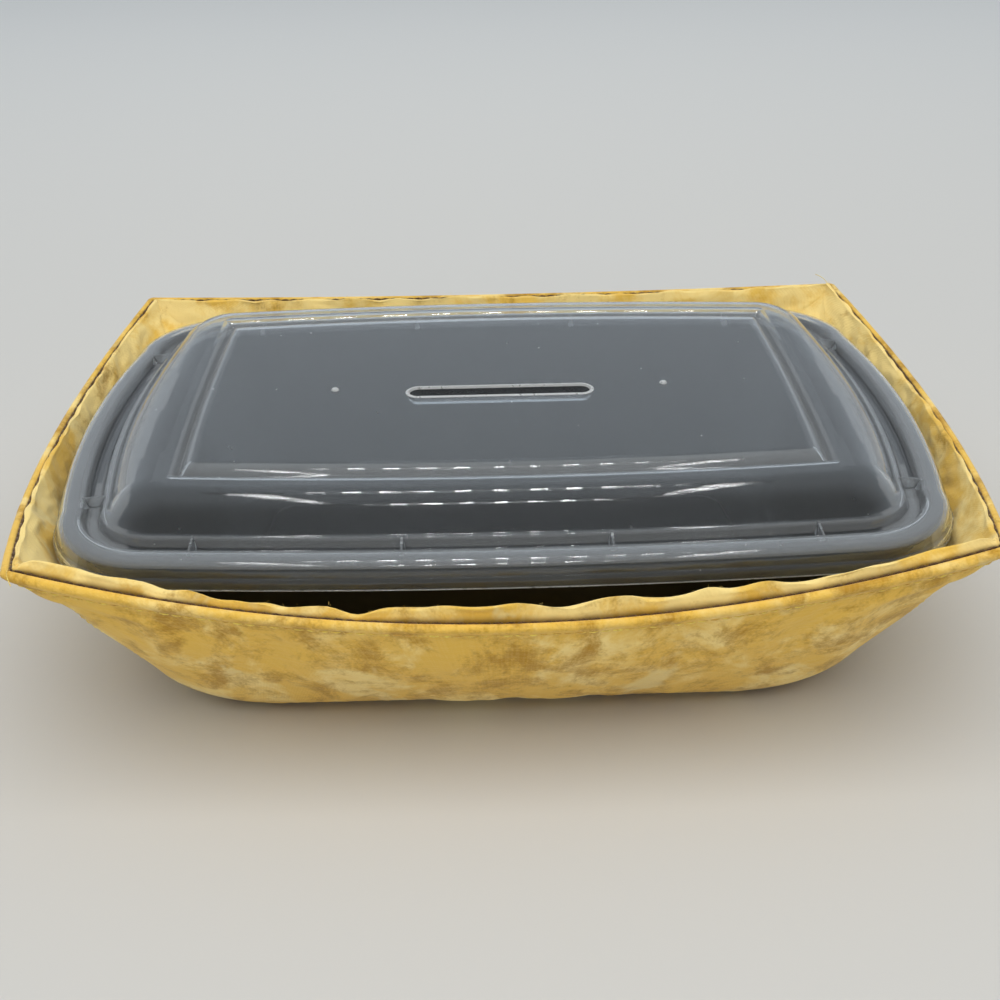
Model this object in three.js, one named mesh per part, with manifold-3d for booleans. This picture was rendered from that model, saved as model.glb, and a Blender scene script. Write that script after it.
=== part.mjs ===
// A padded cotton cozy with a covered microwave container standing in it.
// Millimetres, +Z up, +X along the long side, +Y to the back.
// The origin is the middle of the cozy's flat base, on the surface that it stands on.

import * as THREE from "three";
import { mergeVertices } from "three/addons/utils/BufferGeometryUtils.js";
import Module from "manifold-3d";

const wasm = await Module();
wasm.setup();

// Container: a thin moulded tray, measured over its rim flange
const CONTAINER_LENGTH = 220;
const CONTAINER_WIDTH = 146.6;
const CONTAINER_HEIGHT = 47;
const CONTAINER_WALL = 0.9;
const END_BOW = 4.5; // how far the short sides bow out at their middle
const SIDE_BOW = 2.8; // how far the long sides bow out at their middle
const RIM_CORNER = 24; // corner radius of the rim flange in plan
const BASE_BOW = 1.5; // bow of the base's sides
const BASE_CORNER = 22; // corner radius of the tray's base in plan
const FLANGE_WIDTH = 1.9; // from the flange's edge to the tray's wall
const FLANGE_DROP = 2.7; // height of the flange's turned-down lip
const COLLAR_HEIGHT = 5; // upright stretch of wall below the rim, which the lid plugs
const WALL_DRAFT = 20.5; // how much the wall comes in between collar and base
const HEEL_RADIUS = 6; // round between wall and base
const BASE_PANEL_RISE = 0.8; // the base's middle stands this much off its foot ring
const FOOT_RING_WIDTH = 9;

// Lid: a clear cover that presses on, with a rim bead, a groove inside it and a stepped dome
const LID_WALL = 0.8;
const DOME_END_BOW = 1; // bow of the dome's short sides
const DOME_SIDE_BOW = 3.3; // bow of the dome's long sides
const SKIRT_CLEARANCE = 1; // between the flange's edge and the inside of the skirt
const RIM_CLEARANCE = 0.3; // between the flange and the bead that sits on it
const PLUG_CLEARANCE = 0.4; // between the tray's collar and the lid's groove, which plugs it
const LIP_HEIGHT = 2.2; // the skirt's thicker bottom lip
const LIP_STEP = 1.2; // how far the skirt stands in from its lip
const BEAD_HEIGHT = 6.7; // skirt's bottom to bead's top
const BEAD_ROUND = 1.8; // round at the bead's outer edge
const GROOVE_DEPTH = 2.7;
const GROOVE_WALL_RUN = 1.2; // how far the groove's walls lean in
const GROOVE_FLOOR = 2.6;
const DOME_HEIGHT = 8.6; // top of the dome above the bead
const DOME_WALL_RUN = 2.2; // how far the dome's wall comes in at its foot
const DOME_ROUND = 8; // round of the dome's shoulder
const DOME_END_LEAN = 4; // extra run of the dome's wall on the short sides
const RING_WIDTH = 3.6; // flat ring at the top of the dome
const STEP_DEPTH = 2.2; // the ring steps down to a narrow ledge
const STEP_RUN = 2.4;
const LEDGE_WIDTH = 0.9;
const PANEL_RAMP = 5; // slope from the ledge up to the middle panel
const MITRE_RADIUS = 0.8; // least corner radius, where insets run out of radius
const RIB_THICKNESS = 1;
const RIB_PITCH = 48.3; // along the long sides
const RIBS_PER_SIDE = 4;
const END_RIB_SPACING = 84.5; // between the two ribs of each short side
const RIB_EMBED = 0.4; // how far a rib runs into the groove's walls
const SLOT_LENGTH = 49.5;
const SLOT_WIDTH = 6.7;
const SLOT_DEPTH = 2;
const SLOT_OFFSET = 5.3; // the slot lies this far in front of the middle
const GATE_SPACING = 87.5; // between the two moulding gate nubs
const GATE_OFFSET = 2.8; // the nubs lie this far in front of the middle
const GATE_RADIUS = 1.3;
const GATE_HEIGHT = 0.4;

// Cozy: cover, two battings and lining, sewn together at the rim
const CLOTH = 0.6;
const BATTING = 1.6;
const LAYER_GAP = 0.3; // between neighbouring layers
const SEAT_CLEARANCE = 0.3; // between the lining's floor and the container
const BASE_SLACK = 0.5; // between the container's base and the lining around it
const RIM_DRAW_IN = 2.5; // the lid's round corners let the rim's short sides draw in here
const SIDE_SLACK = 2; // between lid and lining at the ends of the long sides
const END_FULLNESS = 5.3; // extra bulge of the cozy's short sides over the lid's bow
const SIDE_FULLNESS = 3.7; // extra bulge of the cozy's long sides over the lid's bow
const COZY_BASE_CORNER = 38;
const COZY_RIM_CORNER = 2.5; // the rim's corners are nearly sharp
const RIM_PINCH = 0.75; // share of the padding's thickness that the rim's stitching leaves
const WALL_SWELL = 0.3; // how much of the wall's outline is a swell rather than a straight lean
const COZY_HEEL = 8; // round between base and wall
const RIM_ABOVE_LID_EDGE = 10; // rim's corners above the bottom of the lid's skirt
const FRONT_DIP = 13; // how far the rim sags at the middle of each side
const BACK_DIP = 4;
const END_DIP = 6.5;
const RIM_TURN = 2.7; // cloth of the cover turned over the rim, up to the seam
const SEAM_DITCH = 0.4; // the seam lies this much below the rim
const LINING_PUFF = 2.6; // padded roll of the lining above the rim
const BATTING_TRIM = 2.6; // the battings stop this far below the rim

// Threads
const THREAD = 0.5;
const THREAD_CLEARANCE = 0.3;
const BOBBIN_LINE = 3.6; // topstitch on the outside, below the rim
const THREAD_SIDES = 5;

// Facets
const LONG_STEPS = 8;
const SHORT_STEPS = 6;
const CORNER_STEPS = 4;
const ROUND_STEPS = 3;

// Derived sizes
const flangeHalf = new THREE.Vector2(CONTAINER_LENGTH / 2 - END_BOW, CONTAINER_WIDTH / 2 - SIDE_BOW);
const skirtReach = LIP_STEP + LID_WALL + SKIRT_CLEARANCE;
const lidHalf = flangeHalf.clone().addScalar(skirtReach);
const lidCorner = RIM_CORNER + skirtReach;
const cozyThickness = 2 * CLOTH + 2 * BATTING + 3 * LAYER_GAP;
const containerSeat = cozyThickness + SEAT_CLEARANCE;
const lidSeat = containerSeat + CONTAINER_HEIGHT + RIM_CLEARANCE - (BEAD_HEIGHT - LID_WALL);
const collarInset = FLANGE_WIDTH;
const baseInset = collarInset + WALL_DRAFT;
const cozyBaseHalf = flangeHalf.clone().addScalar(BASE_SLACK + cozyThickness - baseInset + HEEL_RADIUS);
const cozyRimHalf = lidHalf.clone().addScalar(cozyThickness).add(new THREE.Vector2(-RIM_DRAW_IN, SIDE_SLACK));
const cozyRimHeight = lidSeat + RIM_ABOVE_LID_EDGE;
const endBulge = END_BOW + END_FULLNESS;
const sideBulge = SIDE_BOW + SIDE_FULLNESS;

// Materials
function material(color, roughness, options = {}) {
  return new THREE.MeshStandardMaterial({ color, roughness, metalness: 0, ...options });
}
const printedCotton = material(0xd9ab4f, 0.9);
const cottonBatting = material(0xf1ead8, 1);
const sewingThread = material(0x8a6420, 0.8);
const blackPolypropylene = material(0x17191c, 0.35);
const clearPolypropylene = material(0xc9d0d2, 0.2, { transparent: true, opacity: 0.4 });

// Plan outlines: a rounded rectangle with bowed sides, as points in a fixed order,
// anticlockwise from the front left. Half sizes are those at the corners.
function planOutline(half, corner, bowEnds, bowSides) {
  const radius = Math.max(corner, MITRE_RADIUS);
  const x = half.x - radius;
  const y = half.y - radius;
  const path = new THREE.Path();
  path.moveTo(-x, -half.y);
  path.quadraticCurveTo(0, -half.y - 2 * bowSides, x, -half.y);
  path.absarc(x, -y, radius, -Math.PI / 2, 0, false);
  path.quadraticCurveTo(half.x + 2 * bowEnds, 0, half.x, y);
  path.absarc(x, y, radius, 0, Math.PI / 2, false);
  path.quadraticCurveTo(0, half.y + 2 * bowSides, -x, half.y);
  path.absarc(-x, y, radius, Math.PI / 2, Math.PI, false);
  path.quadraticCurveTo(-half.x - 2 * bowEnds, 0, -half.x, -y);
  path.absarc(-x, -y, radius, Math.PI, 1.5 * Math.PI, false);
  const curves = path.curves.filter((curve) => !curve.isLineCurve);
  return curves.flatMap((curve, i) => {
    const steps = i % 2 ? CORNER_STEPS : i % 4 ? SHORT_STEPS : LONG_STEPS;
    return curve.getPoints(steps).slice(0, -1);
  });
}

// Index, in an outline, of the middle of each corner.
const cornerNames = ["front_right", "back_right", "back_left", "front_left"];
const cornerIndex = cornerNames.map((name, i) => {
  const longSides = Math.ceil((i + 1) / 2);
  const shortSides = i + 1 - longSides;
  return longSides * LONG_STEPS + shortSides * SHORT_STEPS + i * CORNER_STEPS + CORNER_STEPS / 2;
});

function level(outline, z) {
  return outline.map((p) => new THREE.Vector3(p.x, p.y, z));
}

// Faces between two loops of equal count; each four-sided face is split along its shorter diagonal,
// so that the facing surfaces of neighbouring layers are split alike.
function stitch(points, lower, upper, count) {
  const index = [];
  for (let i = 0; i < count; i += 1) {
    const next = (i + 1) % count;
    const [a, b, c, d] = [lower + i, lower + next, upper + next, upper + i];
    if (points[a].distanceTo(points[c]) <= points[b].distanceTo(points[d])) {
      index.push(a, b, c, a, c, d);
    } else {
      index.push(a, b, d, b, c, d);
    }
  }
  return index;
}

// A closed solid through loops of equal count, its first and last loops closed by fans.
function loft(loops) {
  const count = loops[0].length;
  const points = loops.flat();
  const index = loops.slice(1).flatMap((_, k) => stitch(points, k * count, (k + 1) * count, count));
  const fan = (start, centre, turn) => {
    for (let i = 0; i < count; i += 1) {
      const edge = [start + i, start + ((i + 1) % count)];
      index.push(centre, edge[turn], edge[1 - turn]);
    }
  };
  const middle = (loop) => loop.reduce((sum, p) => sum.add(p), new THREE.Vector3()).divideScalar(count);
  points.push(middle(loops[0]), middle(loops.at(-1)));
  fan(0, points.length - 2, 1);
  fan((loops.length - 1) * count, points.length - 1, 0);
  return new THREE.BufferGeometry().setFromPoints(points).setIndex(index);
}

// A closed ring through loops of equal count, the last joined to the first.
function ring(loops) {
  const count = loops[0].length;
  const points = loops.flat();
  const index = loops.flatMap((_, k) => {
    return stitch(points, k * count, ((k + 1) % loops.length) * count, count);
  });
  return new THREE.BufferGeometry().setFromPoints(points).setIndex(index);
}

// The same profile moved sideways by a wall's thickness, to the right of its direction.
function offsetProfile(profile, distance) {
  const right = (from, to) => {
    const along = to.clone().sub(from).normalize();
    return new THREE.Vector2(along.y, -along.x);
  };
  return profile.map((p, i) => {
    const before = right(profile[Math.max(i - 1, 0)], profile[Math.max(i, 1)]);
    const last = profile.length - 1;
    const after = right(profile[Math.min(i, last - 1)], profile[Math.min(i + 1, last)]);
    const mitre = before.clone().add(after);
    return mitre.multiplyScalar((2 * distance) / mitre.lengthSq()).add(p);
  });
}

function solidOf(geometry) {
  const plain = geometry.clone().deleteAttribute("normal").deleteAttribute("uv");
  const merged = mergeVertices(plain, 1e-4);
  const vertProperties = new Float32Array(merged.attributes.position.array);
  const triVerts = new Uint32Array(merged.index.array);
  return new wasm.Manifold(new wasm.Mesh({ numProp: 3, vertProperties, triVerts }));
}

function geometryOf(solid) {
  const mesh = solid.getMesh();
  const geometry = new THREE.BufferGeometry();
  geometry.setAttribute("position", new THREE.BufferAttribute(mesh.vertProperties, 3));
  return geometry.setIndex(new THREE.BufferAttribute(mesh.triVerts, 1));
}

function named(name, geometry, meshMaterial) {
  const mesh = new THREE.Mesh(geometry, meshMaterial);
  mesh.name = name;
  return mesh;
}

// Container, standing on z = 0: insets are measured from the flange's edge.
function containerLoop(inset, z, corner) {
  const half = flangeHalf.clone().subScalar(inset);
  const share = THREE.MathUtils.clamp((inset - collarInset - CONTAINER_WALL) / WALL_DRAFT, 0, 1);
  const bowEnds = THREE.MathUtils.lerp(END_BOW, BASE_BOW, share);
  const bowSides = THREE.MathUtils.lerp(SIDE_BOW, BASE_BOW, share);
  return level(planOutline(half, corner, bowEnds, bowSides), z);
}

function containerGeometry() {
  const top = CONTAINER_HEIGHT;
  const collar = top - COLLAR_HEIGHT;
  const footEdge = baseInset + HEEL_RADIUS;
  const ringEdge = footEdge + FOOT_RING_WIDTH;
  const section = new THREE.Path();
  section.moveTo(ringEdge + BASE_PANEL_RISE, BASE_PANEL_RISE);
  section.lineTo(ringEdge, 0);
  section.lineTo(footEdge, 0);
  section.quadraticCurveTo(baseInset, 0, baseInset - HEEL_RADIUS / 2, HEEL_RADIUS);
  section.lineTo(collarInset, collar);
  section.lineTo(collarInset, top - CONTAINER_WALL);
  const outside = section.getPoints(ROUND_STEPS);
  const inside = offsetProfile(outside, CONTAINER_WALL).reverse();
  inside[0].y = top;
  const corner = (p) => {
    const share = THREE.MathUtils.clamp((p.x - collarInset) / WALL_DRAFT, 0, 1);
    return THREE.MathUtils.lerp(RIM_CORNER - collarInset, BASE_CORNER, share) - Math.max(p.x - baseInset, 0);
  };
  const flange = [
    new THREE.Vector2(CONTAINER_WALL, top - CONTAINER_WALL),
    new THREE.Vector2(CONTAINER_WALL, top - FLANGE_DROP),
    new THREE.Vector2(0, top - FLANGE_DROP),
    new THREE.Vector2(0, top),
  ];
  const flangeCorner = (p) => RIM_CORNER - p.x;
  return loft([
    ...outside.map((p) => containerLoop(p.x, p.y, corner(p))),
    ...flange.map((p) => containerLoop(p.x, p.y, flangeCorner(p))),
    ...inside.map((p) => containerLoop(p.x, p.y, corner(p))),
  ]);
}

// Lid, with the bottom of its skirt on z = 0: insets are measured from the lip's edge.
const grooveStart = skirtReach + FLANGE_WIDTH + CONTAINER_WALL + PLUG_CLEARANCE + LID_WALL;
const grooveEnd = grooveStart + 2 * GROOVE_WALL_RUN + GROOVE_FLOOR;
const grooveFloorHeight = BEAD_HEIGHT - GROOVE_DEPTH;
const lidTop = BEAD_HEIGHT + DOME_HEIGHT;
const ringStart = grooveEnd + DOME_WALL_RUN + DOME_ROUND;
const ledgeStart = ringStart + RING_WIDTH + STEP_RUN;
const panelEdge = ledgeStart + LEDGE_WIDTH + PANEL_RAMP;

function lidSection() {
  const shoulder = LIP_STEP + BEAD_ROUND;
  const section = new THREE.Path();
  section.moveTo(0, 0);
  section.lineTo(0, LIP_HEIGHT);
  section.lineTo(LIP_STEP - LID_WALL / 2, LIP_HEIGHT + LID_WALL);
  section.lineTo(LIP_STEP, BEAD_HEIGHT - BEAD_ROUND);
  section.quadraticCurveTo(LIP_STEP, BEAD_HEIGHT, shoulder, BEAD_HEIGHT);
  section.lineTo(grooveStart, BEAD_HEIGHT);
  section.lineTo(grooveStart + GROOVE_WALL_RUN, grooveFloorHeight);
  section.lineTo(grooveEnd - GROOVE_WALL_RUN, grooveFloorHeight);
  section.lineTo(grooveEnd, BEAD_HEIGHT);
  section.lineTo(grooveEnd + DOME_WALL_RUN, lidTop - DOME_ROUND);
  section.quadraticCurveTo(ringStart - DOME_ROUND / 2, lidTop, ringStart, lidTop);
  section.lineTo(ringStart + RING_WIDTH, lidTop);
  section.lineTo(ledgeStart, lidTop - STEP_DEPTH);
  section.lineTo(ledgeStart + LEDGE_WIDTH, lidTop - STEP_DEPTH);
  section.lineTo(panelEdge, lidTop);
  return section.getPoints(ROUND_STEPS);
}

function lidLoop(p) {
  const half = lidHalf.clone().subScalar(p.x);
  const share = THREE.MathUtils.clamp((p.x - grooveEnd) / (ringStart - grooveEnd), 0, 1);
  const inside = THREE.MathUtils.clamp((p.x - ringStart) / (panelEdge - ringStart), 0, 1);
  half.x -= DOME_END_LEAN * (share - inside);
  const bowEnds = THREE.MathUtils.lerp(END_BOW, DOME_END_BOW, share);
  const bowSides = THREE.MathUtils.lerp(SIDE_BOW, DOME_SIDE_BOW, share);
  return level(planOutline(half, lidCorner - p.x, bowEnds, bowSides), p.y);
}

// How far the lid's edge lies from the middle, along a long side or a short one.
function lidEdgeAt(along, straight, half, bow) {
  return half + bow * Math.max(0, 1 - (along / straight) ** 2);
}

function grooveRibs() {
  const inner = grooveEnd + RIB_EMBED;
  const outer = grooveStart - RIB_EMBED;
  const bottom = grooveFloorHeight - RIB_EMBED;
  const size = [inner - outer, BEAD_HEIGHT - bottom];
  const middle = (inner + outer) / 2;
  const height = (BEAD_HEIGHT + bottom) / 2;
  const ribs = [];
  for (let i = 0; i < RIBS_PER_SIDE; i += 1) {
    const x = (i - (RIBS_PER_SIDE - 1) / 2) * RIB_PITCH;
    const y = lidEdgeAt(x, lidHalf.x - lidCorner, lidHalf.y, SIDE_BOW) - middle;
    for (const side of [-1, 1]) {
      ribs.push(new THREE.BoxGeometry(RIB_THICKNESS, ...size).translate(x, side * y, height));
    }
  }
  for (const y of [-END_RIB_SPACING / 2, END_RIB_SPACING / 2]) {
    const x = lidEdgeAt(y, lidHalf.y - lidCorner, lidHalf.x, END_BOW) - middle;
    for (const side of [-1, 1]) {
      ribs.push(new THREE.BoxGeometry(size[0], RIB_THICKNESS, size[1]).translate(side * x, y, height));
    }
  }
  return ribs;
}

function slotPrism(length, width, bottom, top) {
  const run = (length - width) / 2;
  const outline = new THREE.Shape();
  outline.absarc(run, 0, width / 2, -Math.PI / 2, Math.PI / 2, false);
  outline.absarc(-run, 0, width / 2, Math.PI / 2, 1.5 * Math.PI, false);
  const options = { depth: top - bottom, bevelEnabled: false, curveSegments: 2 * ROUND_STEPS };
  return new THREE.ExtrudeGeometry(outline, options).translate(0, -SLOT_OFFSET, bottom);
}

function lidGeometry() {
  const topSide = lidSection();
  const underside = offsetProfile(topSide, LID_WALL).reverse();
  underside.at(-1).y = 0;
  let lid = solidOf(loft([...underside, ...topSide].map(lidLoop)));
  for (const rib of grooveRibs()) {
    lid = lid.add(solidOf(rib));
  }
  const slotFloor = lidTop - SLOT_DEPTH;
  const around = 2 * LID_WALL;
  const pan = [slotFloor - LID_WALL, lidTop - LID_WALL / 2];
  lid = lid.add(solidOf(slotPrism(SLOT_LENGTH + around, SLOT_WIDTH + around, ...pan)));
  lid = lid.subtract(solidOf(slotPrism(SLOT_LENGTH, SLOT_WIDTH, slotFloor, lidTop + LID_WALL)));
  for (const side of [-1, 1]) {
    const nub = new THREE.CylinderGeometry(GATE_RADIUS, GATE_RADIUS, LID_WALL / 2 + GATE_HEIGHT, 8);
    nub.rotateX(Math.PI / 2).translate((side * GATE_SPACING) / 2, -GATE_OFFSET, lidTop + (GATE_HEIGHT - LID_WALL / 2) / 2);
    lid = lid.add(solidOf(nub));
  }
  return geometryOf(lid);
}

// Cozy: a place in its padding is a rise, 0 at the base and 1 at the rim, and a depth from the outside.
// Depth runs across the leaning wall low down and turns level towards the rim.
const wallLean = Math.atan2(cozyRimHalf.x - cozyBaseHalf.x, cozyRimHeight);

function cozyLoop({ rise, depth, inset = 0, lean = wallLean * (1 - rise ** 2), lift = 0 }) {
  const fullness = Math.sin((rise * Math.PI) / 2);
  const padding = THREE.MathUtils.clamp(depth, 0, cozyThickness);
  const thick = depth - padding * (1 - RIM_PINCH) * rise ** 3;
  const inwards = inset + thick * Math.cos(lean);
  const spread = THREE.MathUtils.lerp(rise, fullness, WALL_SWELL);
  const half = cozyBaseHalf.clone().lerp(cozyRimHalf, spread).subScalar(inwards);
  const corner = THREE.MathUtils.lerp(COZY_BASE_CORNER, COZY_RIM_CORNER, rise ** 2) - inwards;
  const outline = planOutline(half, corner, endBulge * fullness, sideBulge * fullness);
  return outline.map((p) => {
    const alongSide = Math.max(0, 1 - (p.x / half.x) ** 2);
    const alongEnd = Math.max(0, 1 - (p.y / half.y) ** 2);
    const dip = (p.y < 0 ? FRONT_DIP : BACK_DIP) * alongSide + END_DIP * alongEnd;
    return new THREE.Vector3(p.x, p.y, rise * (cozyRimHeight - dip) + thick * Math.sin(lean) + lift);
  });
}

// The stations of one surface of a layer, from the middle of the base up to the rim.
// Darts are sewn from the first of the wall's stations to the last but one.
const riseBelowRim = (distance) => 1 - distance / cozyRimHeight;
const bobbinRise = riseBelowRim(BOBBIN_LINE);
const wallRises = [0.3, 0.6, 0.85, bobbinRise];
const dartRises = wallRises.slice(0, -1);

function layerSurface(depth, belowRim) {
  const heel = [
    { rise: 0, depth, inset: COZY_HEEL, lean: Math.PI / 2 },
    { rise: 0, depth, inset: COZY_HEEL / 3, lean: Math.PI / 3, lift: COZY_HEEL / 10 },
    { rise: 0, depth, lean: Math.PI / 6, lift: COZY_HEEL / 2.5 },
  ];
  const wall = wallRises.map((rise) => ({ rise, depth }));
  const top = { rise: riseBelowRim(belowRim), depth };
  return [...heel, ...wall, top].map(cozyLoop);
}

// A loop level with the rim, or raised from it.
function rimLoop(depth, lift) {
  return cozyLoop({ rise: 1, depth, lift });
}

// The cover turns over the rim and ends at the seam.
function coverGeometry() {
  const outside = layerSurface(0, 2 * CLOTH);
  const inside = layerSurface(CLOTH, 3 * CLOTH).reverse();
  const turn = [rimLoop(CLOTH, 0), rimLoop(RIM_TURN, -SEAM_DITCH), rimLoop(RIM_TURN, -SEAM_DITCH - CLOTH)];
  return loft([...outside, ...turn, rimLoop(2 * CLOTH, -CLOTH), ...inside]);
}

function battingGeometry(depth) {
  const outside = layerSurface(depth, BATTING_TRIM);
  const inside = layerSurface(depth + BATTING, BATTING_TRIM).reverse();
  return loft([...outside, ...inside]);
}

// The lining starts at the seam and rolls over the battings' edge.
function liningGeometry() {
  const seam = RIM_TURN + LAYER_GAP;
  const face = cozyThickness;
  const back = face - CLOTH;
  const across = face - seam;
  const roll = (share, thickness, height) => {
    return rimLoop(seam + share * across, height * LINING_PUFF - thickness);
  };
  const under = [roll(0.7, CLOTH, 0.9), roll(0.4, CLOTH, 0.75), rimLoop(seam, -SEAM_DITCH - CLOTH)];
  const over = [rimLoop(seam, -SEAM_DITCH), roll(0.25, 0, 0.75), roll(0.7, 0, 1)];
  const outside = layerSurface(back, 2 * CLOTH);
  const inside = layerSurface(face, CLOTH).reverse();
  return loft([...outside, ...under, ...over, ...inside]);
}

// Points round a thread's section, as shares of its radius.
const threadSection = Array.from({ length: THREAD_SIDES }, (_, i) => {
  const angle = (i * 2 * Math.PI) / THREAD_SIDES;
  return new THREE.Vector2(Math.cos(angle), Math.sin(angle)).multiplyScalar(THREAD / 2);
});

// Topstitching all round, at one station of the cozy.
function threadRing(station) {
  const { depth, lift = 0 } = station;
  return ring(threadSection.map((p) => cozyLoop({ ...station, depth: depth - p.x, lift: lift + p.y })));
}

// One dart's stitching, up the middle of a corner.
function dartThread(corner, depth) {
  const points = dartRises.map((rise) => cozyLoop({ rise, depth })[cornerIndex[corner]]);
  const along = points.at(-1).clone().sub(points[0]).normalize();
  const side = new THREE.Vector3(0, 0, 1).cross(along).normalize();
  const across = along.clone().cross(side);
  const section = threadSection.map((p) => side.clone().multiplyScalar(p.x).addScaledVector(across, p.y));
  return loft(points.map((point) => section.map((p) => p.clone().add(point))));
}

// Assembly
const cozy = new THREE.Group();
const outerBattingDepth = CLOTH + LAYER_GAP;
const liningBattingDepth = outerBattingDepth + BATTING + LAYER_GAP;
const threadStand = THREAD / 2 + THREAD_CLEARANCE;
const seamDepth = RIM_TURN - THREAD / 2;
const needleLine = { rise: 1, depth: seamDepth, lift: threadStand - SEAM_DITCH };
const bobbinLine = { rise: bobbinRise, depth: -threadStand };
cozy.add(
  named("outer_cover", coverGeometry(), printedCotton),
  named("outer_batting", battingGeometry(outerBattingDepth), cottonBatting),
  named("lining_batting", battingGeometry(liningBattingDepth), cottonBatting),
  named("lining", liningGeometry(), printedCotton),
  named("rim_needle_thread", threadRing(needleLine), sewingThread),
  named("rim_bobbin_thread", threadRing(bobbinLine), sewingThread),
);
cornerNames.forEach((corner, i) => {
  cozy.add(named(`cover_dart_thread_${corner}`, dartThread(i, -threadStand), sewingThread));
  cozy.add(named(`lining_dart_thread_${corner}`, dartThread(i, cozyThickness + threadStand), sewingThread));
});

const container = new THREE.Group();
container.position.z = containerSeat;
container.add(named("container", containerGeometry(), blackPolypropylene));

const lid = new THREE.Group();
lid.position.z = lidSeat - containerSeat;
lid.add(named("lid", lidGeometry(), clearPolypropylene));
container.add(lid);

const assembly = new THREE.Group();
assembly.add(cozy, container);

export default assembly;
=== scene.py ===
import math
import random

import bmesh
import bpy
import numpy as np
from bpy.props import FloatProperty, FloatVectorProperty, PointerProperty
from mathutils import Matrix, Vector, noise


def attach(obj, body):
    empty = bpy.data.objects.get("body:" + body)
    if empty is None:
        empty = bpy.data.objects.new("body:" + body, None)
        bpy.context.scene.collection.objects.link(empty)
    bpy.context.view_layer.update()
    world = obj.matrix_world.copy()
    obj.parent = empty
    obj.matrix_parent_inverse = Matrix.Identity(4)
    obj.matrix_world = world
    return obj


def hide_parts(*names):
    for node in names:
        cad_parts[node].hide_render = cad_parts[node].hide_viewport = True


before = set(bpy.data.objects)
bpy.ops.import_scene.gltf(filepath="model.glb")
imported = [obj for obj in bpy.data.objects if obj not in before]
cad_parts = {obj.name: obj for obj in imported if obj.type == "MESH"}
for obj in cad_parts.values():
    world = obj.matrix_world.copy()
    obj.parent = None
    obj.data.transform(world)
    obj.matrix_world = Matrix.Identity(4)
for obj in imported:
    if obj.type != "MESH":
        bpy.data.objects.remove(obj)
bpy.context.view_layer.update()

bl_info = {
    "name": "Padded Container Cozy",
    "version": (1, 0, 0),
    "blender": (4, 5, 0),
    "location": "3D View > Sidebar > Cozy",
    "description": "Models a padded cotton cozy with a black meal tray and its clear lid",
    "category": "Object",
}

# Steps round an outline: along each long side, each short side and each corner.
CLOTH_STEPS = (64, 44, 12)
PLASTIC_STEPS = (56, 40, 16)
LEAST_CORNER = 0.0008
# Sewing, in metres: the corner seams' pinch and its spread, how far the painted shade along them
# spreads, how wide and deep the rim's seam is, half the room between cover and lining, and how far
# outside the cloth the place of a stitch is looked for.
PINCH_DEPTH = 0.0007
PINCH_SPREAD = 0.003
SEAM_SHADE_SPREAD = 0.0016
SEAM_WIDTH = 0.0003
SEAM_TUCK = 0.0018
HALF_ROOM = 0.00015
STITCH_REACH = 0.004
SETTLING_FRAMES = 20
# Fibres: points on each, depth of the root, and then the lint and the loose thread ends.
FIBRE_POINTS = 6
FIBRE_ROOT = 0.0003
LINT_COUNT, LINT_LENGTH, LINT_THICKNESS = 800, 0.0009, 0.00005
LOOSE_END, LOOSE_THICKNESS = 0.008, 0.0002
# Radius of the flow ring round each gate of the lid, and materials of the lid's faces: frosted,
# which is also a painted highlight, and hazy, which is partly a painted reflection.
FLOW_RING = 0.0085
FROSTED_AND_HIGHLIGHT, HAZE_AND_REFLECTION = 1, 2
# Distance between the small lamps of a row.
LAMP_PITCH = 0.0235
CORNERS = ("front_right", "back_right", "back_left", "front_left")
UP = np.array((0.0, 0.0, 1.0))


def length(name, description, default):
    """A size in metres."""
    return FloatProperty(
        name=name, description=description, default=default, min=0.0, precision=5,
        unit="LENGTH", subtype="DISTANCE",
    )


def plan_size(name, description, default):
    """Half a length and half a width, in metres."""
    return FloatVectorProperty(
        name=name, description=description, default=default, size=2, min=0.0, precision=5,
        unit="LENGTH",
    )


def share(name, description, default):
    """A part of a whole, from 0 to 1."""
    return FloatProperty(
        name=name, description=description, default=default, min=0.0, max=1.0, subtype="FACTOR",
    )


def colour(name, description, default):
    """A surface colour."""
    return FloatVectorProperty(
        name=name, description=description, default=default, size=4, min=0.0, max=1.0,
        subtype="COLOR",
    )


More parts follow.
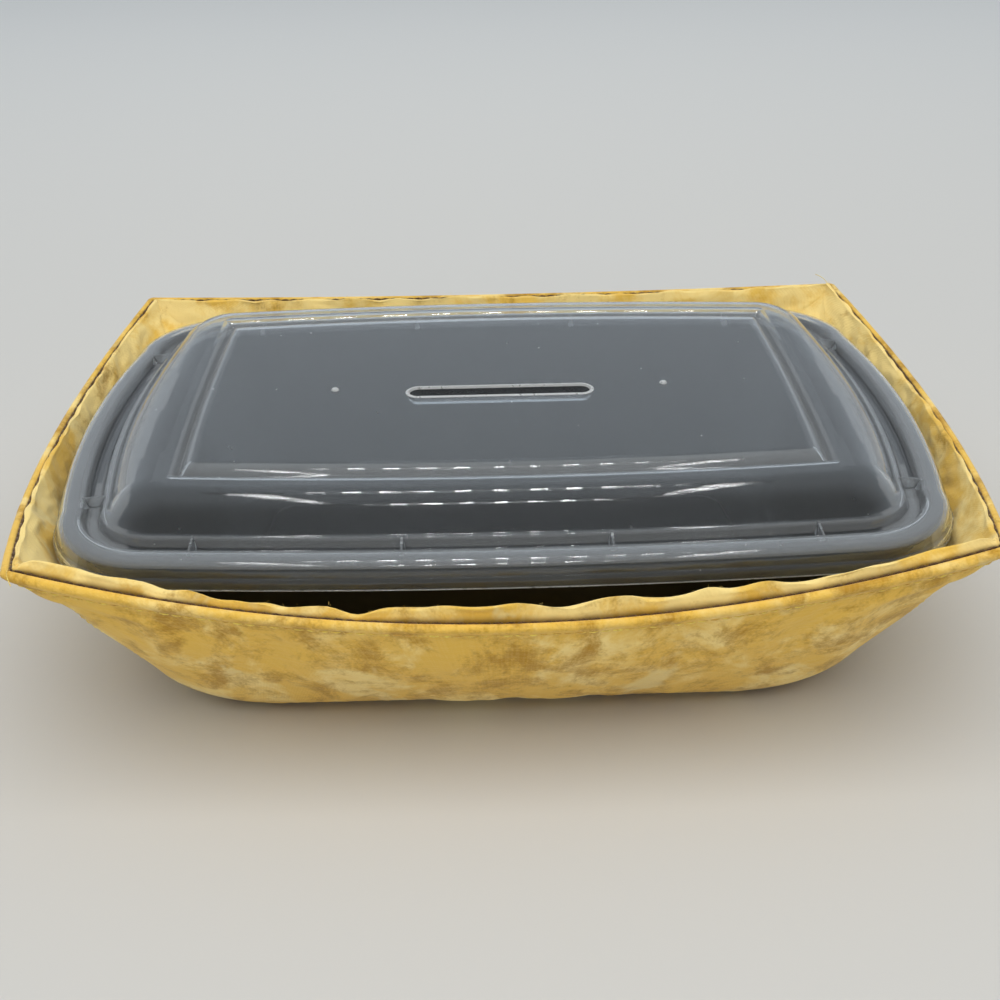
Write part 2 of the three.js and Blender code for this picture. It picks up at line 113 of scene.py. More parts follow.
class CozySizes(bpy.types.PropertyGroup):
    """Sizes of the sewn cozy"""

    base_half: plan_size("Base Half Size", "Half size of the base at its corners", (0.0949, 0.0599))
    rim_half: plan_size("Rim Half Size", "Half size of the rim, at its corners", (0.1113, 0.0808))
    rim_height: length("Rim Height", "Height of the rim's corners", 0.057)
    base_corner: length("Base Corner", "Corner radius of the base", 0.038)
    rim_corner: length("Rim Corner", "Corner radius of the rim", 0.0025)
    heel: length("Heel", "Round between base and wall", 0.008)
    padding: length("Padding", "Both cloths and both battings together", 0.0053)
    end_bulge: length("End Bulge", "How far the short sides of the rim swell out", 0.0098)
    side_bulge: length("Side Bulge", "How far the long sides of the rim swell out", 0.0065)
    front_dip: length("Front Dip", "Sag of the rim at the middle of the front", 0.013)
    back_dip: length("Back Dip", "Sag of the rim at the middle of the back", 0.004)
    end_dip: length("End Dip", "Sag of the rim at the middle of the short sides", 0.0065)
    rim_pinch: share("Rim Pinch", "Share of the padding that the rim's stitching leaves", 0.75)
    wall_swell: share("Wall Swell", "Share of the wall's outline that is a swell", 0.3)
    rim_turn: length("Rim Turn", "Cloth turned over the rim, up to the seam", 0.003)
    seam_ditch: length("Seam Ditch", "Depth of the seam below the rim", 0.0006)
    lining_puff: length("Lining Puff", "Mean height of the lining at the sides and back", 0.0005)
    lining_wave: length("Lining Wave", "How far that height rises and falls", 0.0012)
    full_roll: length("Full Roll", "Height of the lining's roll where it is plump", 0.0026)
    thread: length("Thread", "Thickness of the sewing thread", 0.00048)
    stitch: length("Stitch", "Length of one stitch", 0.0027)
    outside_stitch: length("Outside Stitch", "Topstitching on the outside, below the rim", 0.0036)


class TraySizes(bpy.types.PropertyGroup):
    """Sizes of the moulded tray"""

    flange_half: plan_size("Flange Half Size", "Half size over the flange's corners", (0.1055, 0.0705))
    seat: length("Seat", "Height of the tray's base above the ground", 0.0056)
    height: length("Height", "Height of the tray", 0.047)
    wall: length("Wall", "Wall thickness", 0.0009)
    end_bow: length("End Bow", "Bow of the rim's short sides", 0.0045)
    side_bow: length("Side Bow", "Bow of the rim's long sides", 0.0028)
    base_bow: length("Base Bow", "Bow of the base's sides", 0.0015)
    rim_corner: length("Rim Corner", "Corner radius of the rim flange", 0.024)
    base_corner: length("Base Corner", "Corner radius of the base", 0.022)
    flange: length("Flange", "Width of the rim flange", 0.0019)
    flange_drop: length("Flange Drop", "Height of the flange's turned-down lip", 0.0027)
    collar: length("Collar", "Upright wall below the rim", 0.005)
    draft: length("Draft", "How much the wall comes in towards the base", 0.0205)
    heel: length("Heel", "Round between wall and base", 0.006)
    panel_rise: length("Panel Rise", "Rise of the base's middle off its foot ring", 0.0008)
    foot_ring: length("Foot Ring", "Width of the foot ring", 0.009)


class LidSizes(bpy.types.PropertyGroup):
    """Sizes of the clear lid"""

    half: plan_size("Half Size", "Half size over the skirt's lip, at its corners", (0.1085, 0.0735))
    seat: length("Seat", "Height of the skirt's bottom above the ground", 0.047)
    corner: length("Corner", "Corner radius of the skirt's lip", 0.027)
    wall: length("Wall", "Wall thickness", 0.0008)
    end_bow: length("End Bow", "Bow of the skirt's short sides", 0.0045)
    side_bow: length("Side Bow", "Bow of the skirt's long sides", 0.0028)
    dome_end_bow: length("Dome End Bow", "Bow of the dome's short sides", 0.001)
    dome_side_bow: length("Dome Side Bow", "Bow of the dome's long sides", 0.0033)
    bead: length("Bead", "Height of the rim bead above the skirt's bottom", 0.0067)
    groove_start: length("Groove Start", "Outer edge of the groove, from the lip", 0.007)
    groove_end: length("Groove End", "Inner edge of the groove, from the lip", 0.012)
    groove_depth: length("Groove Depth", "Depth of the groove below the bead", 0.0027)
    dome: length("Dome", "Height of the dome above the bead", 0.0086)
    ring_start: length("Ring Start", "Outer edge of the dome's flat ring, from the lip", 0.0222)
    ring: length("Ring", "Width of the dome's flat ring", 0.0036)
    end_lean: length("End Lean", "Extra run of the dome's wall on the short sides", 0.004)
    panel_edge: length("Panel Edge", "Edge of the middle panel, from the lip", 0.0341)
    step: length("Step", "Depth of the step inside the dome's ring", 0.0022)
    rib_pitch: length("Rib Pitch", "Distance between ribs of a long side", 0.0483)
    end_rib: length("End Rib", "Distance of a short side's ribs from the middle", 0.04225)
    slot_half: plan_size("Slot Half Size", "Half size of the recessed slot", (0.02475, 0.00335))
    slot_offset: length("Slot Offset", "How far the slot lies in front of the middle", 0.0053)
    slot_depth: length("Slot Depth", "Depth of the slot", 0.002)
    gate: length("Gate", "Distance of each gate nub from the middle", 0.04375)
    gate_offset: length("Gate Offset", "How far the gate nubs lie in front of the middle", 0.0028)
    haze_start: length("Haze Start", "Where the hazy ends begin, from the middle", 0.088)


class Finishes(bpy.types.PropertyGroup):
    """Colours of the materials"""

    cream: colour("Cream", "Lightest patches of the print", (0.96, 0.74, 0.29, 1))
    gold: colour("Gold", "Ground of the print", (0.83, 0.52, 0.085, 1))
    ochre: colour("Ochre", "Darkest patches of the print", (0.44, 0.225, 0.014, 1))
    pale: colour("Pale", "Washed-out patches of the print", (0.87, 0.71, 0.33, 1))
    # Painted shade: the topstitching thread is darker than its own brown, standing in for the shadow
    # in the seam's ditch.
    thread: colour("Thread", "Topstitching thread", (0.075, 0.036, 0.008, 1))
    seam_thread: colour("Seam Thread", "Thread of the outside and the corners", (0.72, 0.44, 0.09, 1))
    tray: colour("Tray", "Black plastic", (0.010, 0.011, 0.013, 1))
    lid: colour("Lid", "Clear plastic", (0.90, 0.93, 0.95, 1))
    ground: colour("Ground", "Floor and backdrop", (0.60, 0.595, 0.58, 1))


def bowed_outline(half, corner, bows, steps):
    """Plan points of a rounded rectangle with bowed sides, anticlockwise from the front left."""
    radius = max(corner, LEAST_CORNER)
    points = []
    for side in range(4):
        long_side = side % 2 == 0
        run = (half[0] if long_side else half[1]) - radius
        reach = half[1] if long_side else half[0]
        bow = bows[1] if long_side else bows[0]
        turn = (side - 1) * math.pi / 2
        out = np.array((math.cos(turn), math.sin(turn)))
        along = np.array((-out[1], out[0]))
        t = np.linspace(0, 1, steps[0 if long_side else 1], endpoint=False)[:, None]
        points.append(along * run * (2 * t - 1) + out * (reach + 4 * bow * t * (1 - t)))
        angle = turn + np.linspace(0, math.pi / 2, steps[2], endpoint=False)
        arc = radius * np.column_stack([np.cos(angle), np.sin(angle)])
        points.append(along * run + out * (reach - radius) + arc)
    return np.vstack(points)


def corner_column(index, steps):
    """Column of an outline at the middle of a corner, counted from the front right."""
    long_sides = (index + 2) // 2
    short_sides = index + 1 - long_sides
    return long_sides * steps[0] + short_sides * steps[1] + index * steps[2] + steps[2] // 2


def smooth_rows(rows, spans):
    """Rows on one smooth line per column through the given rows, with steps between neighbours."""
    rows = [np.asarray(row, float) for row in rows]
    gaps = [np.linalg.norm(b[:, :3] - a[:, :3], axis=1).mean() for a, b in zip(rows, rows[1:])]
    slopes = [(b - a) / gap for a, b, gap in zip(rows, rows[1:], gaps)]
    tangents = [slopes[0]]
    for i in range(1, len(rows) - 1):
        before, after = gaps[i - 1], gaps[i]
        tangents.append((slopes[i - 1] * after + slopes[i] * before) / (before + after))
    tangents.append(slopes[-1])
    made = []
    for i, (steps, gap) in enumerate(zip(spans, gaps)):
        for t in np.linspace(0, 1, steps, endpoint=False):
            a = 2 * t**3 - 3 * t**2 + 1
            b = t**3 - 2 * t**2 + t
            c = 3 * t**2 - 2 * t**3
            d = t**3 - t**2
            start = a * rows[i] + b * gap * tangents[i]
            made.append(start + c * rows[i + 1] + d * gap * tangents[i + 1])
    return made + [rows[-1]]


def loft(rows):
    """A closed skin through rows of points, each ring extruded from the one before."""
    bm = bmesh.new()
    column = bm.verts.layers.int.new("column")
    level = bm.verts.layers.int.new("level")
    ring = bmesh.ops.create_circle(bm, segments=len(rows[0]), radius=1.0)["verts"]
    for i, vert in enumerate(ring):
        vert[column] = i
        vert.co = rows[0][i][:3]
    edges = list(bm.edges)
    bmesh.ops.triangle_fill(bm, edges=edges, use_beauty=True)
    for k, row in enumerate(rows[1:], 1):
        made = bmesh.ops.extrude_edge_only(bm, edges=edges)["geom"]
        for vert in (g for g in made if isinstance(g, bmesh.types.BMVert)):
            vert[level] = k
            vert.co = row[vert[column]][:3]
        edges = [g for g in made if isinstance(g, bmesh.types.BMEdge) and g.is_boundary]
    bmesh.ops.triangle_fill(bm, edges=edges, use_beauty=True)
    bmesh.ops.recalc_face_normals(bm, faces=bm.faces)
    put_in_order(bm)
    return bm


def put_in_order(bm):
    """Sorts edges and faces by their vertices, so that the cloth settles alike in each run."""
    bm.verts.index_update()
    count = len(bm.verts)

    def place(part):
        first, second = sorted(vert.index for vert in part.verts)[:2]
        return first * count + second

    bm.edges.sort(key=place)
    bm.faces.sort(key=lambda face: place(face) * count + max(vert.index for vert in face.verts))


def lay_flat(bm, rows, reference):
    """A UV map in metres: along the reference row, and up the skin."""
    column = bm.verts.layers.int["column"]
    level = bm.verts.layers.int["level"]
    count = len(reference)
    closed = np.vstack([reference, reference[:1]])[:, :3]
    along = np.concatenate([[0], np.cumsum(np.linalg.norm(np.diff(closed, axis=0), axis=1))])
    climbs = [np.linalg.norm(b[:, :3] - a[:, :3], axis=1).mean() for a, b in zip(rows, rows[1:])]
    up = np.concatenate([[0], np.cumsum(climbs)])
    uv = bm.loops.layers.uv.new("Cloth")
    for face in bm.faces:
        columns = [loop.vert[column] for loop in face.loops]
        one_row = len({loop.vert[level] for loop in face.loops}) == 1
        wraps = max(columns) - min(columns) > count / 2
        for loop, c in zip(face.loops, columns):
            c += count if wraps and c < count / 2 else 0
            climb = up[loop.vert[level]]
            loop[uv].uv = loop.vert.co.xy if one_row else (along[c], climb)


def new_piece(name, bm, material):
    """An object made from a bmesh, smooth shaded, with one material."""
    mesh = bpy.data.meshes.new(name)
    bm.to_mesh(mesh)
    bm.free()
    mesh.polygons.foreach_set("use_smooth", [True] * len(mesh.polygons))
    mesh.materials.append(material)
    piece = bpy.data.objects.new(name, mesh)
    bpy.context.scene.collection.objects.link(piece)
    return piece


def belongs(piece, body, slot, *nodes):
    """Ties a piece to its CAD body and hides the CAD nodes it stands in for; the material slot is not
    used.
    """
    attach(piece, body)
    if nodes:
        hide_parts(*nodes)


def baked(piece, name, *materials):
    """The piece as it is evaluated, as a plain mesh in a new object."""
    bpy.context.view_layer.update()
    made = piece.evaluated_get(bpy.context.evaluated_depsgraph_get())
    mesh = bpy.data.meshes.new_from_object(made)
    mesh.name = name
    mesh.polygons.foreach_set("use_smooth", [True] * len(mesh.polygons))
    kept = [0] * len(mesh.polygons)
    mesh.polygons.foreach_get("material_index", kept)
    mesh.materials.clear()
    for material in materials:
        mesh.materials.append(material)
    mesh.polygons.foreach_set("material_index", kept if len(materials) > 1 else [0] * len(kept))
    bpy.data.objects.remove(piece)
    piece = bpy.data.objects.new(name, mesh)
    bpy.context.scene.collection.objects.link(piece)
    return piece


def cozy_row(sizes, rise, depth, inset=0.0, lean=None, lift=0.0, free=0.0, seam=0.0):
    """One row round the cozy: x, y, z, how free the cloth is there, and how much painted seam shade
    darkens it.

    Rise is 0 at the base and 1 at the rim, and depth runs inwards from the outside."""
    if lean is None:
        lean = math.atan2(sizes.rim_half[0] - sizes.base_half[0], sizes.rim_height) * (1 - rise**2)
    fullness = math.sin(rise * math.pi / 2)
    padding = min(max(depth, 0.0), sizes.padding)
    thick = depth - padding * (1 - sizes.rim_pinch) * rise**3
    inwards = inset + thick * math.cos(lean)
    spread = rise + (fullness - rise) * sizes.wall_swell
    half = [b + (r - b) * spread - inwards for b, r in zip(sizes.base_half, sizes.rim_half)]
    corner = sizes.base_corner + (sizes.rim_corner - sizes.base_corner) * rise**2 - inwards
    bows = (sizes.end_bulge * fullness, sizes.side_bulge * fullness)
    x, y = bowed_outline(half, corner, bows, CLOTH_STEPS).T
    along_side = np.clip(1 - (x / half[0]) ** 2, 0, None)
    along_end = np.clip(1 - (y / half[1]) ** 2, 0, None)
    dip = np.where(y < 0, sizes.front_dip, sizes.back_dip) * along_side + sizes.end_dip * along_end
    z = rise * (sizes.rim_height - dip) + thick * math.sin(lean) + lift
    return np.column_stack([x, y, z, np.full(len(x), free), np.full(len(x), seam)])


def inward(row):
    """Level unit vectors that point into the cozy from each point of a row."""
    along = np.roll(row[:, :2], -1, axis=0) - np.roll(row[:, :2], 1, axis=0)
    along /= np.linalg.norm(along, axis=1)[:, None]
    return np.column_stack([-along[:, 1], along[:, 0], np.zeros(len(row))])


def nudged(row, into=0.0, up=0.0):
    """The same row moved into the cozy and upwards, by a distance for each point."""
    row = row.copy()
    count = len(row)
    row[:, :3] += inward(row) * np.broadcast_to(into, count)[:, None]
    row[:, 2] += np.broadcast_to(up, count)
    return row


def base_rows(sizes, depth):
    """Rows of the flat base, from its middle out, and round the heel."""
    flat = [cozy_row(sizes, 0, depth, inset, math.pi / 2) for inset in (0.054, 0.042, 0.03, 0.018)]
    heel = [
        cozy_row(sizes, 0, depth, sizes.heel, math.pi / 2),
        cozy_row(sizes, 0, depth, sizes.heel / 3, math.pi / 3, sizes.heel / 10),
        cozy_row(sizes, 0, depth, 0, math.pi / 6, sizes.heel / 2.5, 0.5),
    ]
    return flat, heel


def below_rim(sizes, distance):
    """Rise of a line that runs a distance below the rim."""
    return 1 - distance / sizes.rim_height


# Lining's roll along the front: places along X and its heights there, in millimetres.
FRONT_PUFFS = (
    (-104, 3.2), (-90, 3.6), (-82, 4.0), (-76, 1.4), (-70.5, 3.5), (-63, 1.5), (-54, 2.5),
    (-49.5, 1.7), (-41, 2.9), (-35, 0.9), (-28, 2.9), (-16, 4.4), (2.5, 5.0), (12, 3.6), (26, 5.4),
    (31, 3.9), (43, 4.7), (49, 3.8), (57.5, 4.2), (66.5, 2.4), (76, 3.4), (90, 3.2), (104, 2.6),
)


def puff_heights(sizes, row):
    """Height of the lining's roll above the rim at each point of a row."""
    x, y = row[:, 0] * 1000, row[:, 1]
    place = [p for p, _ in FRONT_PUFFS]
    height = [h for _, h in FRONT_PUFFS]
    fine = np.linspace(-115, 115, 461)
    window = np.hanning(9)
    smoothed = np.convolve(np.interp(fine, place, height), window / window.sum(), "same")
    front = np.interp(x, fine, smoothed) / 1000
    waves = [noise.noise(Vector(p) * 45) + 0.5 * noise.noise(Vector(p) * 110) for p in row[:, :3]]
    others = sizes.lining_puff + sizes.lining_wave * np.array(waves)
    is_front = (y < 0) & (np.abs(row[:, 0]) < sizes.rim_half[0] - 0.004)
    return np.where(is_front, front, others)


def pinched(row, side):
    """A row drawn in along the four corner seams; side is 1 outside and -1 inside."""
    made = row.copy()
    for i in range(4):
        column = corner_column(i, CLOTH_STEPS)
        distance = np.linalg.norm(row[:, :2] - row[column, :2], axis=1)
        towards = -np.sign(row[column, :2])
        drawn = side * PINCH_DEPTH * np.exp(-((distance / PINCH_SPREAD) ** 2))
        made[:, :2] += drawn[:, None] * towards / math.sqrt(2)
        # Painted shade along each corner seam, kept in the row's last column.
        made[:, 4] += 0.6 * np.exp(-((distance / SEAM_SHADE_SPREAD) ** 2))
    return made


def hidden_rows(sizes, seam, depth):
    """Rows of a layer's unseen side, from the rim's seam down to the base's middle."""
    flat, heel = base_rows(sizes, depth)
    rows = [cozy_row(sizes, 1, seam, lift=-SEAM_TUCK, seam=1)]
    rows += [cozy_row(sizes, rise, depth) for rise in (0.93, 0.6, 0.3)]
    return rows + heel[::-1] + flat[::-1]


def cover_rows(sizes):
    """Rows of the cover with its batting, from under the base, over the rim and back inside."""
    flat, heel = base_rows(sizes, 0)
    wall = [cozy_row(sizes, rise, 0, free=1) for rise in (0.16, 0.3, 0.45, 0.6, 0.75, 0.86)]
    line = below_rim(sizes, sizes.outside_stitch)
    # The seam values put painted shade at the outside stitch line and at the rim's seam.
    rim = [
        cozy_row(sizes, line, 0.0005, seam=0.16),
        cozy_row(sizes, below_rim(sizes, sizes.outside_stitch / 2), -0.0003, free=0.3),
        cozy_row(sizes, 1, 0, lift=-0.0009, free=0.2),
        cozy_row(sizes, 1, 0.0003, lift=-0.0001),
        cozy_row(sizes, 1, 0.45 * sizes.rim_turn, lift=0.0004),
        cozy_row(sizes, 1, 0.8 * sizes.rim_turn, lift=0.0002),
        cozy_row(sizes, 1, sizes.rim_turn, lift=-sizes.seam_ditch, seam=1),
    ]
    wall = [pinched(row, 1) for row in wall]
    shown = flat + heel + wall + rim
    spans = [1] * 4 + [2, 2, 2] + [3] * 5 + [2, 2, 1, 1, 1, 1, 1]
    hidden = hidden_rows(sizes, sizes.rim_turn, sizes.padding / 2 - HALF_ROOM)
    return smooth_rows(shown, spans) + hidden


def lining_rows(sizes):
    """Rows of the lining with its batting, from the floor's middle up, over its roll and back."""
    face = sizes.padding
    seam = sizes.rim_turn + SEAM_WIDTH
    flat, heel = base_rows(sizes, face)
    wall = [cozy_row(sizes, rise, face, free=1) for rise in (0.16, 0.3, 0.45, 0.6, 0.75)]
    wall = [pinched(row, -1) for row in wall]
    rim = cozy_row(sizes, 1, seam)
    puff = puff_heights(sizes, rim)
    full = np.clip(puff / sizes.full_roll, 0, 2)

    def roll(across, height, into, free):
        row = cozy_row(sizes, 1, seam + across * (face - seam), free=free)
        return nudged(row, into * full * 0.001, height * puff)

    upper = [
        nudged(cozy_row(sizes, 0.85, face, free=1), 0.0003 * full),
        cozy_row(sizes, 0.905, face - 0.0003, free=0.15),
        nudged(cozy_row(sizes, 0.96, face, free=1), 0.0006 * full),
        roll(1.0, 0.25, 0.7, 1),
        roll(0.9, 0.78, 0.5, 1),
        roll(0.68, 1.0, 0.2, 1),
        roll(0.4, 0.92, 0, 0.8),
        roll(0.15, 0.55, 0, 0.4),
        cozy_row(sizes, 1, seam, lift=-sizes.seam_ditch, seam=1),
    ]
    shown = flat + heel + wall + upper
    spans = [1] * 4 + [2, 2, 2] + [3] * 4 + [3, 2, 2, 2, 2, 2, 2, 2, 2]
    hidden = hidden_rows(sizes, seam, sizes.padding / 2 + HALF_ROOM)
    return smooth_rows(shown, spans) + hidden


def settle(piece, freedom, pressure, growth, caps):
    """Lets the padded cloth swell and wrinkle between its sewn lines, and keeps the result."""
    mesh = piece.data
    rest = np.empty(len(mesh.vertices) * 3)
    mesh.vertices.foreach_get("co", rest)
    rest = rest.reshape(-1, 3)
    held = piece.vertex_groups.new(name="held")
    for i, free in enumerate(freedom):
        held.add([i], 1.0 - float(np.clip(free, 0, 1)), "REPLACE")
    cloth = piece.modifiers.new("Settle", "CLOTH")
    cloth.settings.quality = 6
    cloth.settings.mass = 0.2
    cloth.settings.tension_stiffness = 18
    cloth.settings.compression_stiffness = 18
    cloth.settings.shear_stiffness = 8
    cloth.settings.bending_stiffness = 1.5
    cloth.settings.use_pressure = True
    cloth.settings.uniform_pressure_force = pressure
    cloth.settings.shrink_min = -growth
    cloth.settings.vertex_group_mass = "held"
    cloth.settings.effector_weights.gravity = 0
    cloth.collision_settings.use_collision = False
    scene = bpy.context.scene
    for step in range(1, SETTLING_FRAMES + 1):
        scene.frame_set(step)
    made = piece.evaluated_get(bpy.context.evaluated_depsgraph_get()).data
    moved = np.empty(len(mesh.vertices) * 3)
    made.vertices.foreach_get("co", moved)
    shift = moved.reshape(-1, 3) - rest
    reach = np.linalg.norm(shift, axis=1)
    shift *= (caps * np.tanh(reach / caps) / np.maximum(reach, 1e-9))[:, None]
    piece.modifiers.remove(cloth)
    scene.frame_set(1)
    piece.vertex_groups.remove(held)
    mesh.vertices.foreach_set("co", (rest + shift).ravel())
    mesh.update()


def padded_piece(name, rows, reference, material, pressure, growth, caps):
    """A sewn layer: lofted, settled as cloth, and subdivided once."""
    bm = loft(rows)
    lay_flat(bm, rows, reference)
    column = bm.verts.layers.int["column"]
    level = bm.verts.layers.int["level"]
    freedom = [rows[v[level]][v[column]][3] for v in bm.verts]
    seam_shades = [float(np.clip(rows[v[level]][v[column]][4], 0, 1)) for v in bm.verts]
    heights = np.array([v.co.z for v in bm.verts])
    piece = new_piece(name, bm, material)
    # The seam attribute holds how much painted shade darkens the cloth at a seam.
    piece.data.attributes.new("seam", "FLOAT", "POINT").data.foreach_set("value", seam_shades)
    settle(piece, freedom, pressure, growth, caps(heights))
    finer = piece.modifiers.new("Finer", "SUBSURF")
    finer.levels = 1
    finer.render_levels = 1
    return piece


def strands(name, runs, thickness, resolution, capped, material):
    """Round threads along runs of points, as one mesh."""
    curve = bpy.data.curves.new(name, "CURVE")
    curve.dimensions = "3D"
    curve.bevel_depth = thickness / 2
    curve.bevel_resolution = resolution
    curve.use_fill_caps = capped
    for run in runs:
        spline = curve.splines.new("POLY")
        spline.points.add(len(run) - 1)
        for point, co in zip(spline.points, run):
            point.co = (*co, 1)
    piece = bpy.data.objects.new(name, curve)
    bpy.context.scene.collection.objects.link(piece)
    return baked(piece, name, material)


def stitches(name, path, away, sizes, closed, material, cloth=None):
    """Sewing stitches along a path; away points out of the cloth at each point.

    Where the cloth is given, the stitches are laid on the side of it that is seen."""
    bpy.context.view_layer.update()
    graph = bpy.context.evaluated_depsgraph_get()
    path = np.asarray(path)[:, :3]
    if closed:
        path = np.vstack([path, path[:1]])
        away = np.vstack([away, away[:1]])
    walked = np.concatenate([[0], np.cumsum(np.linalg.norm(np.diff(path, axis=0), axis=1))])
    count = max(1, round(walked[-1] / sizes.stitch))
    pitch = walked[-1] / count
    runs = []
    for i in range(count):
        at = (i + np.array((0.06, 0.18, 0.5, 0.82, 0.94))) * pitch
        height = np.array((-0.9, 0.25, 0.55, 0.25, -0.9)) * sizes.thread
        place = np.column_stack([np.interp(at, walked, path[:, k]) for k in range(3)])
        lift = np.column_stack([np.interp(at, walked, away[:, k]) for k in range(3)])
        if cloth:
            for k, (start, way) in enumerate(zip(place + lift * STITCH_REACH, -lift)):
                met, spot, normal, _ = cloth.ray_cast(Vector(start), Vector(way), depsgraph=graph)
                if met:
                    place[k], lift[k] = spot, normal
            height = height - 0.35 * sizes.thread
        runs.append(place + lift * height[:, None])
    return strands(name, runs, sizes.thread, 1, True, material)


def fibres(name, roots, reach, thickness, ways, material, seed):
    """Short curling fibres that stand on the given points; ways are where they set out to."""
    chance = random.Random(seed)
    runs = []
    for root, way in zip(roots, ways):
        heading = Vector(way).normalized()
        size = reach * chance.uniform(0.5, 1.0)
        bend = Vector([chance.uniform(-1, 1) for _ in range(3)])
        at = Vector(root) - heading * FIBRE_ROOT
        run = []
        for _ in range(FIBRE_POINTS):
            run.append(at)
            heading = (heading + bend * chance.uniform(0.1, 0.5)).normalized()
            at = at + heading * size / (FIBRE_POINTS - 1)
        runs.append(run)
    return strands(name, runs, thickness, 0, False, material)


def on_curve(a, bend, b, t):
    """A point of the curve from a to b that leans towards a bend."""
    return (1 - t) ** 2 * a + 2 * t * (1 - t) * bend + t**2 * b


def clamped(value):
    """The value kept from 0 to 1."""
    return min(max(value, 0), 1)


def raised(plan, height):
    """Plan points at one height."""
    return np.column_stack([plan, np.full(len(plan), height)])


def rounded_section(points):
    """A section line of x, z and round, with each of its bends rounded by a short curve."""
    made = []
    for i, (x, z, radius) in enumerate(points):
        p = np.array((x, z))
        if radius == 0 or i in (0, len(points) - 1):
            made.append(p)
            continue
        before = np.array(points[i - 1][:2]) - p
        after = np.array(points[i + 1][:2]) - p
        a = p + before * min(0.48, radius / np.linalg.norm(before))
        b = p + after * min(0.48, radius / np.linalg.norm(after))
        for t in (0, 0.25, 0.5, 0.75, 1):
            made.append(on_curve(a, p, b, t))
    return made


def eased(start, bend, end, steps):
    """Section points of a smooth curve that sets out for the bend and turns there to the end."""
    a, b, c = (np.array(p) for p in (start, bend, end))
    return [(*on_curve(a, b, c, t), 0.0) for t in np.linspace(0, 1, steps)]


def offset_section(points, distance):
    """The same section line moved to the right of its direction, rounds kept."""
    line = [np.array(p[:2]) for p in points]

    def right(a, b):
        along = (b - a) / np.linalg.norm(b - a)
        return np.array((along[1], -along[0]))

    made = []
    for i, p in enumerate(line):
        before = right(line[max(i - 1, 0)], line[max(i, 1)])
        after = right(line[min(i, len(line) - 2)], line[min(i + 1, len(line) - 1)])
        mitre = before + after
        made.append((*(p + mitre * 2 * distance / mitre.dot(mitre)), points[i][2]))
    return made


def finish_moulding(piece, angle):
    """Sharp edges over an angle, and flat faces that stay flat under smooth shading."""
    mesh = piece.data
    mesh.set_sharp_from_angle(angle=math.radians(angle))
    weigh = piece.modifiers.new("Weigh", "WEIGHTED_NORMAL")
    weigh.keep_sharp = True


def tray_rows(sizes):
    """Rows of the tray: under its base, up the outside, round the flange and down the inside."""
    top = sizes.height
    base = sizes.flange + sizes.draft
    foot = base + sizes.heel
    ring = foot + sizes.foot_ring
    outside = [
        (ring + 0.03, sizes.panel_rise, 0),
        (ring + sizes.panel_rise, sizes.panel_rise, 0.001),
        (ring, 0, 0.001),
        (base + 0.0008, 0, sizes.heel),
        (sizes.flange, top - sizes.collar, 0.002),
        (sizes.flange, top - sizes.wall, 0),
    ]
    inside = offset_section(outside, sizes.wall)[::-1]
    inside[0] = (inside[0][0], top, 0.0006)
    flange = [
        (sizes.wall, top - sizes.wall, 0.0003),
        (sizes.wall, top - sizes.flange_drop, 0.0002),
        (0, top - sizes.flange_drop, 0.0003),
        (0, top, 0.0009),
    ]
    section = rounded_section(outside + flange + inside)
    rows = []
    for x, z in section:
        lean = clamped((x - sizes.flange - sizes.wall) / sizes.draft)
        turn = clamped((x - sizes.flange) / sizes.draft)
        bows = [b + (sizes.base_bow - b) * lean for b in (sizes.end_bow, sizes.side_bow)]
        corner = sizes.rim_corner - min(x, sizes.flange)
        corner += (sizes.base_corner - corner) * turn - max(x - base, 0)
        plan = bowed_outline([h - x for h in sizes.flange_half], corner, bows, PLASTIC_STEPS)
        rows.append(raised(plan, z + sizes.seat))
    return rows


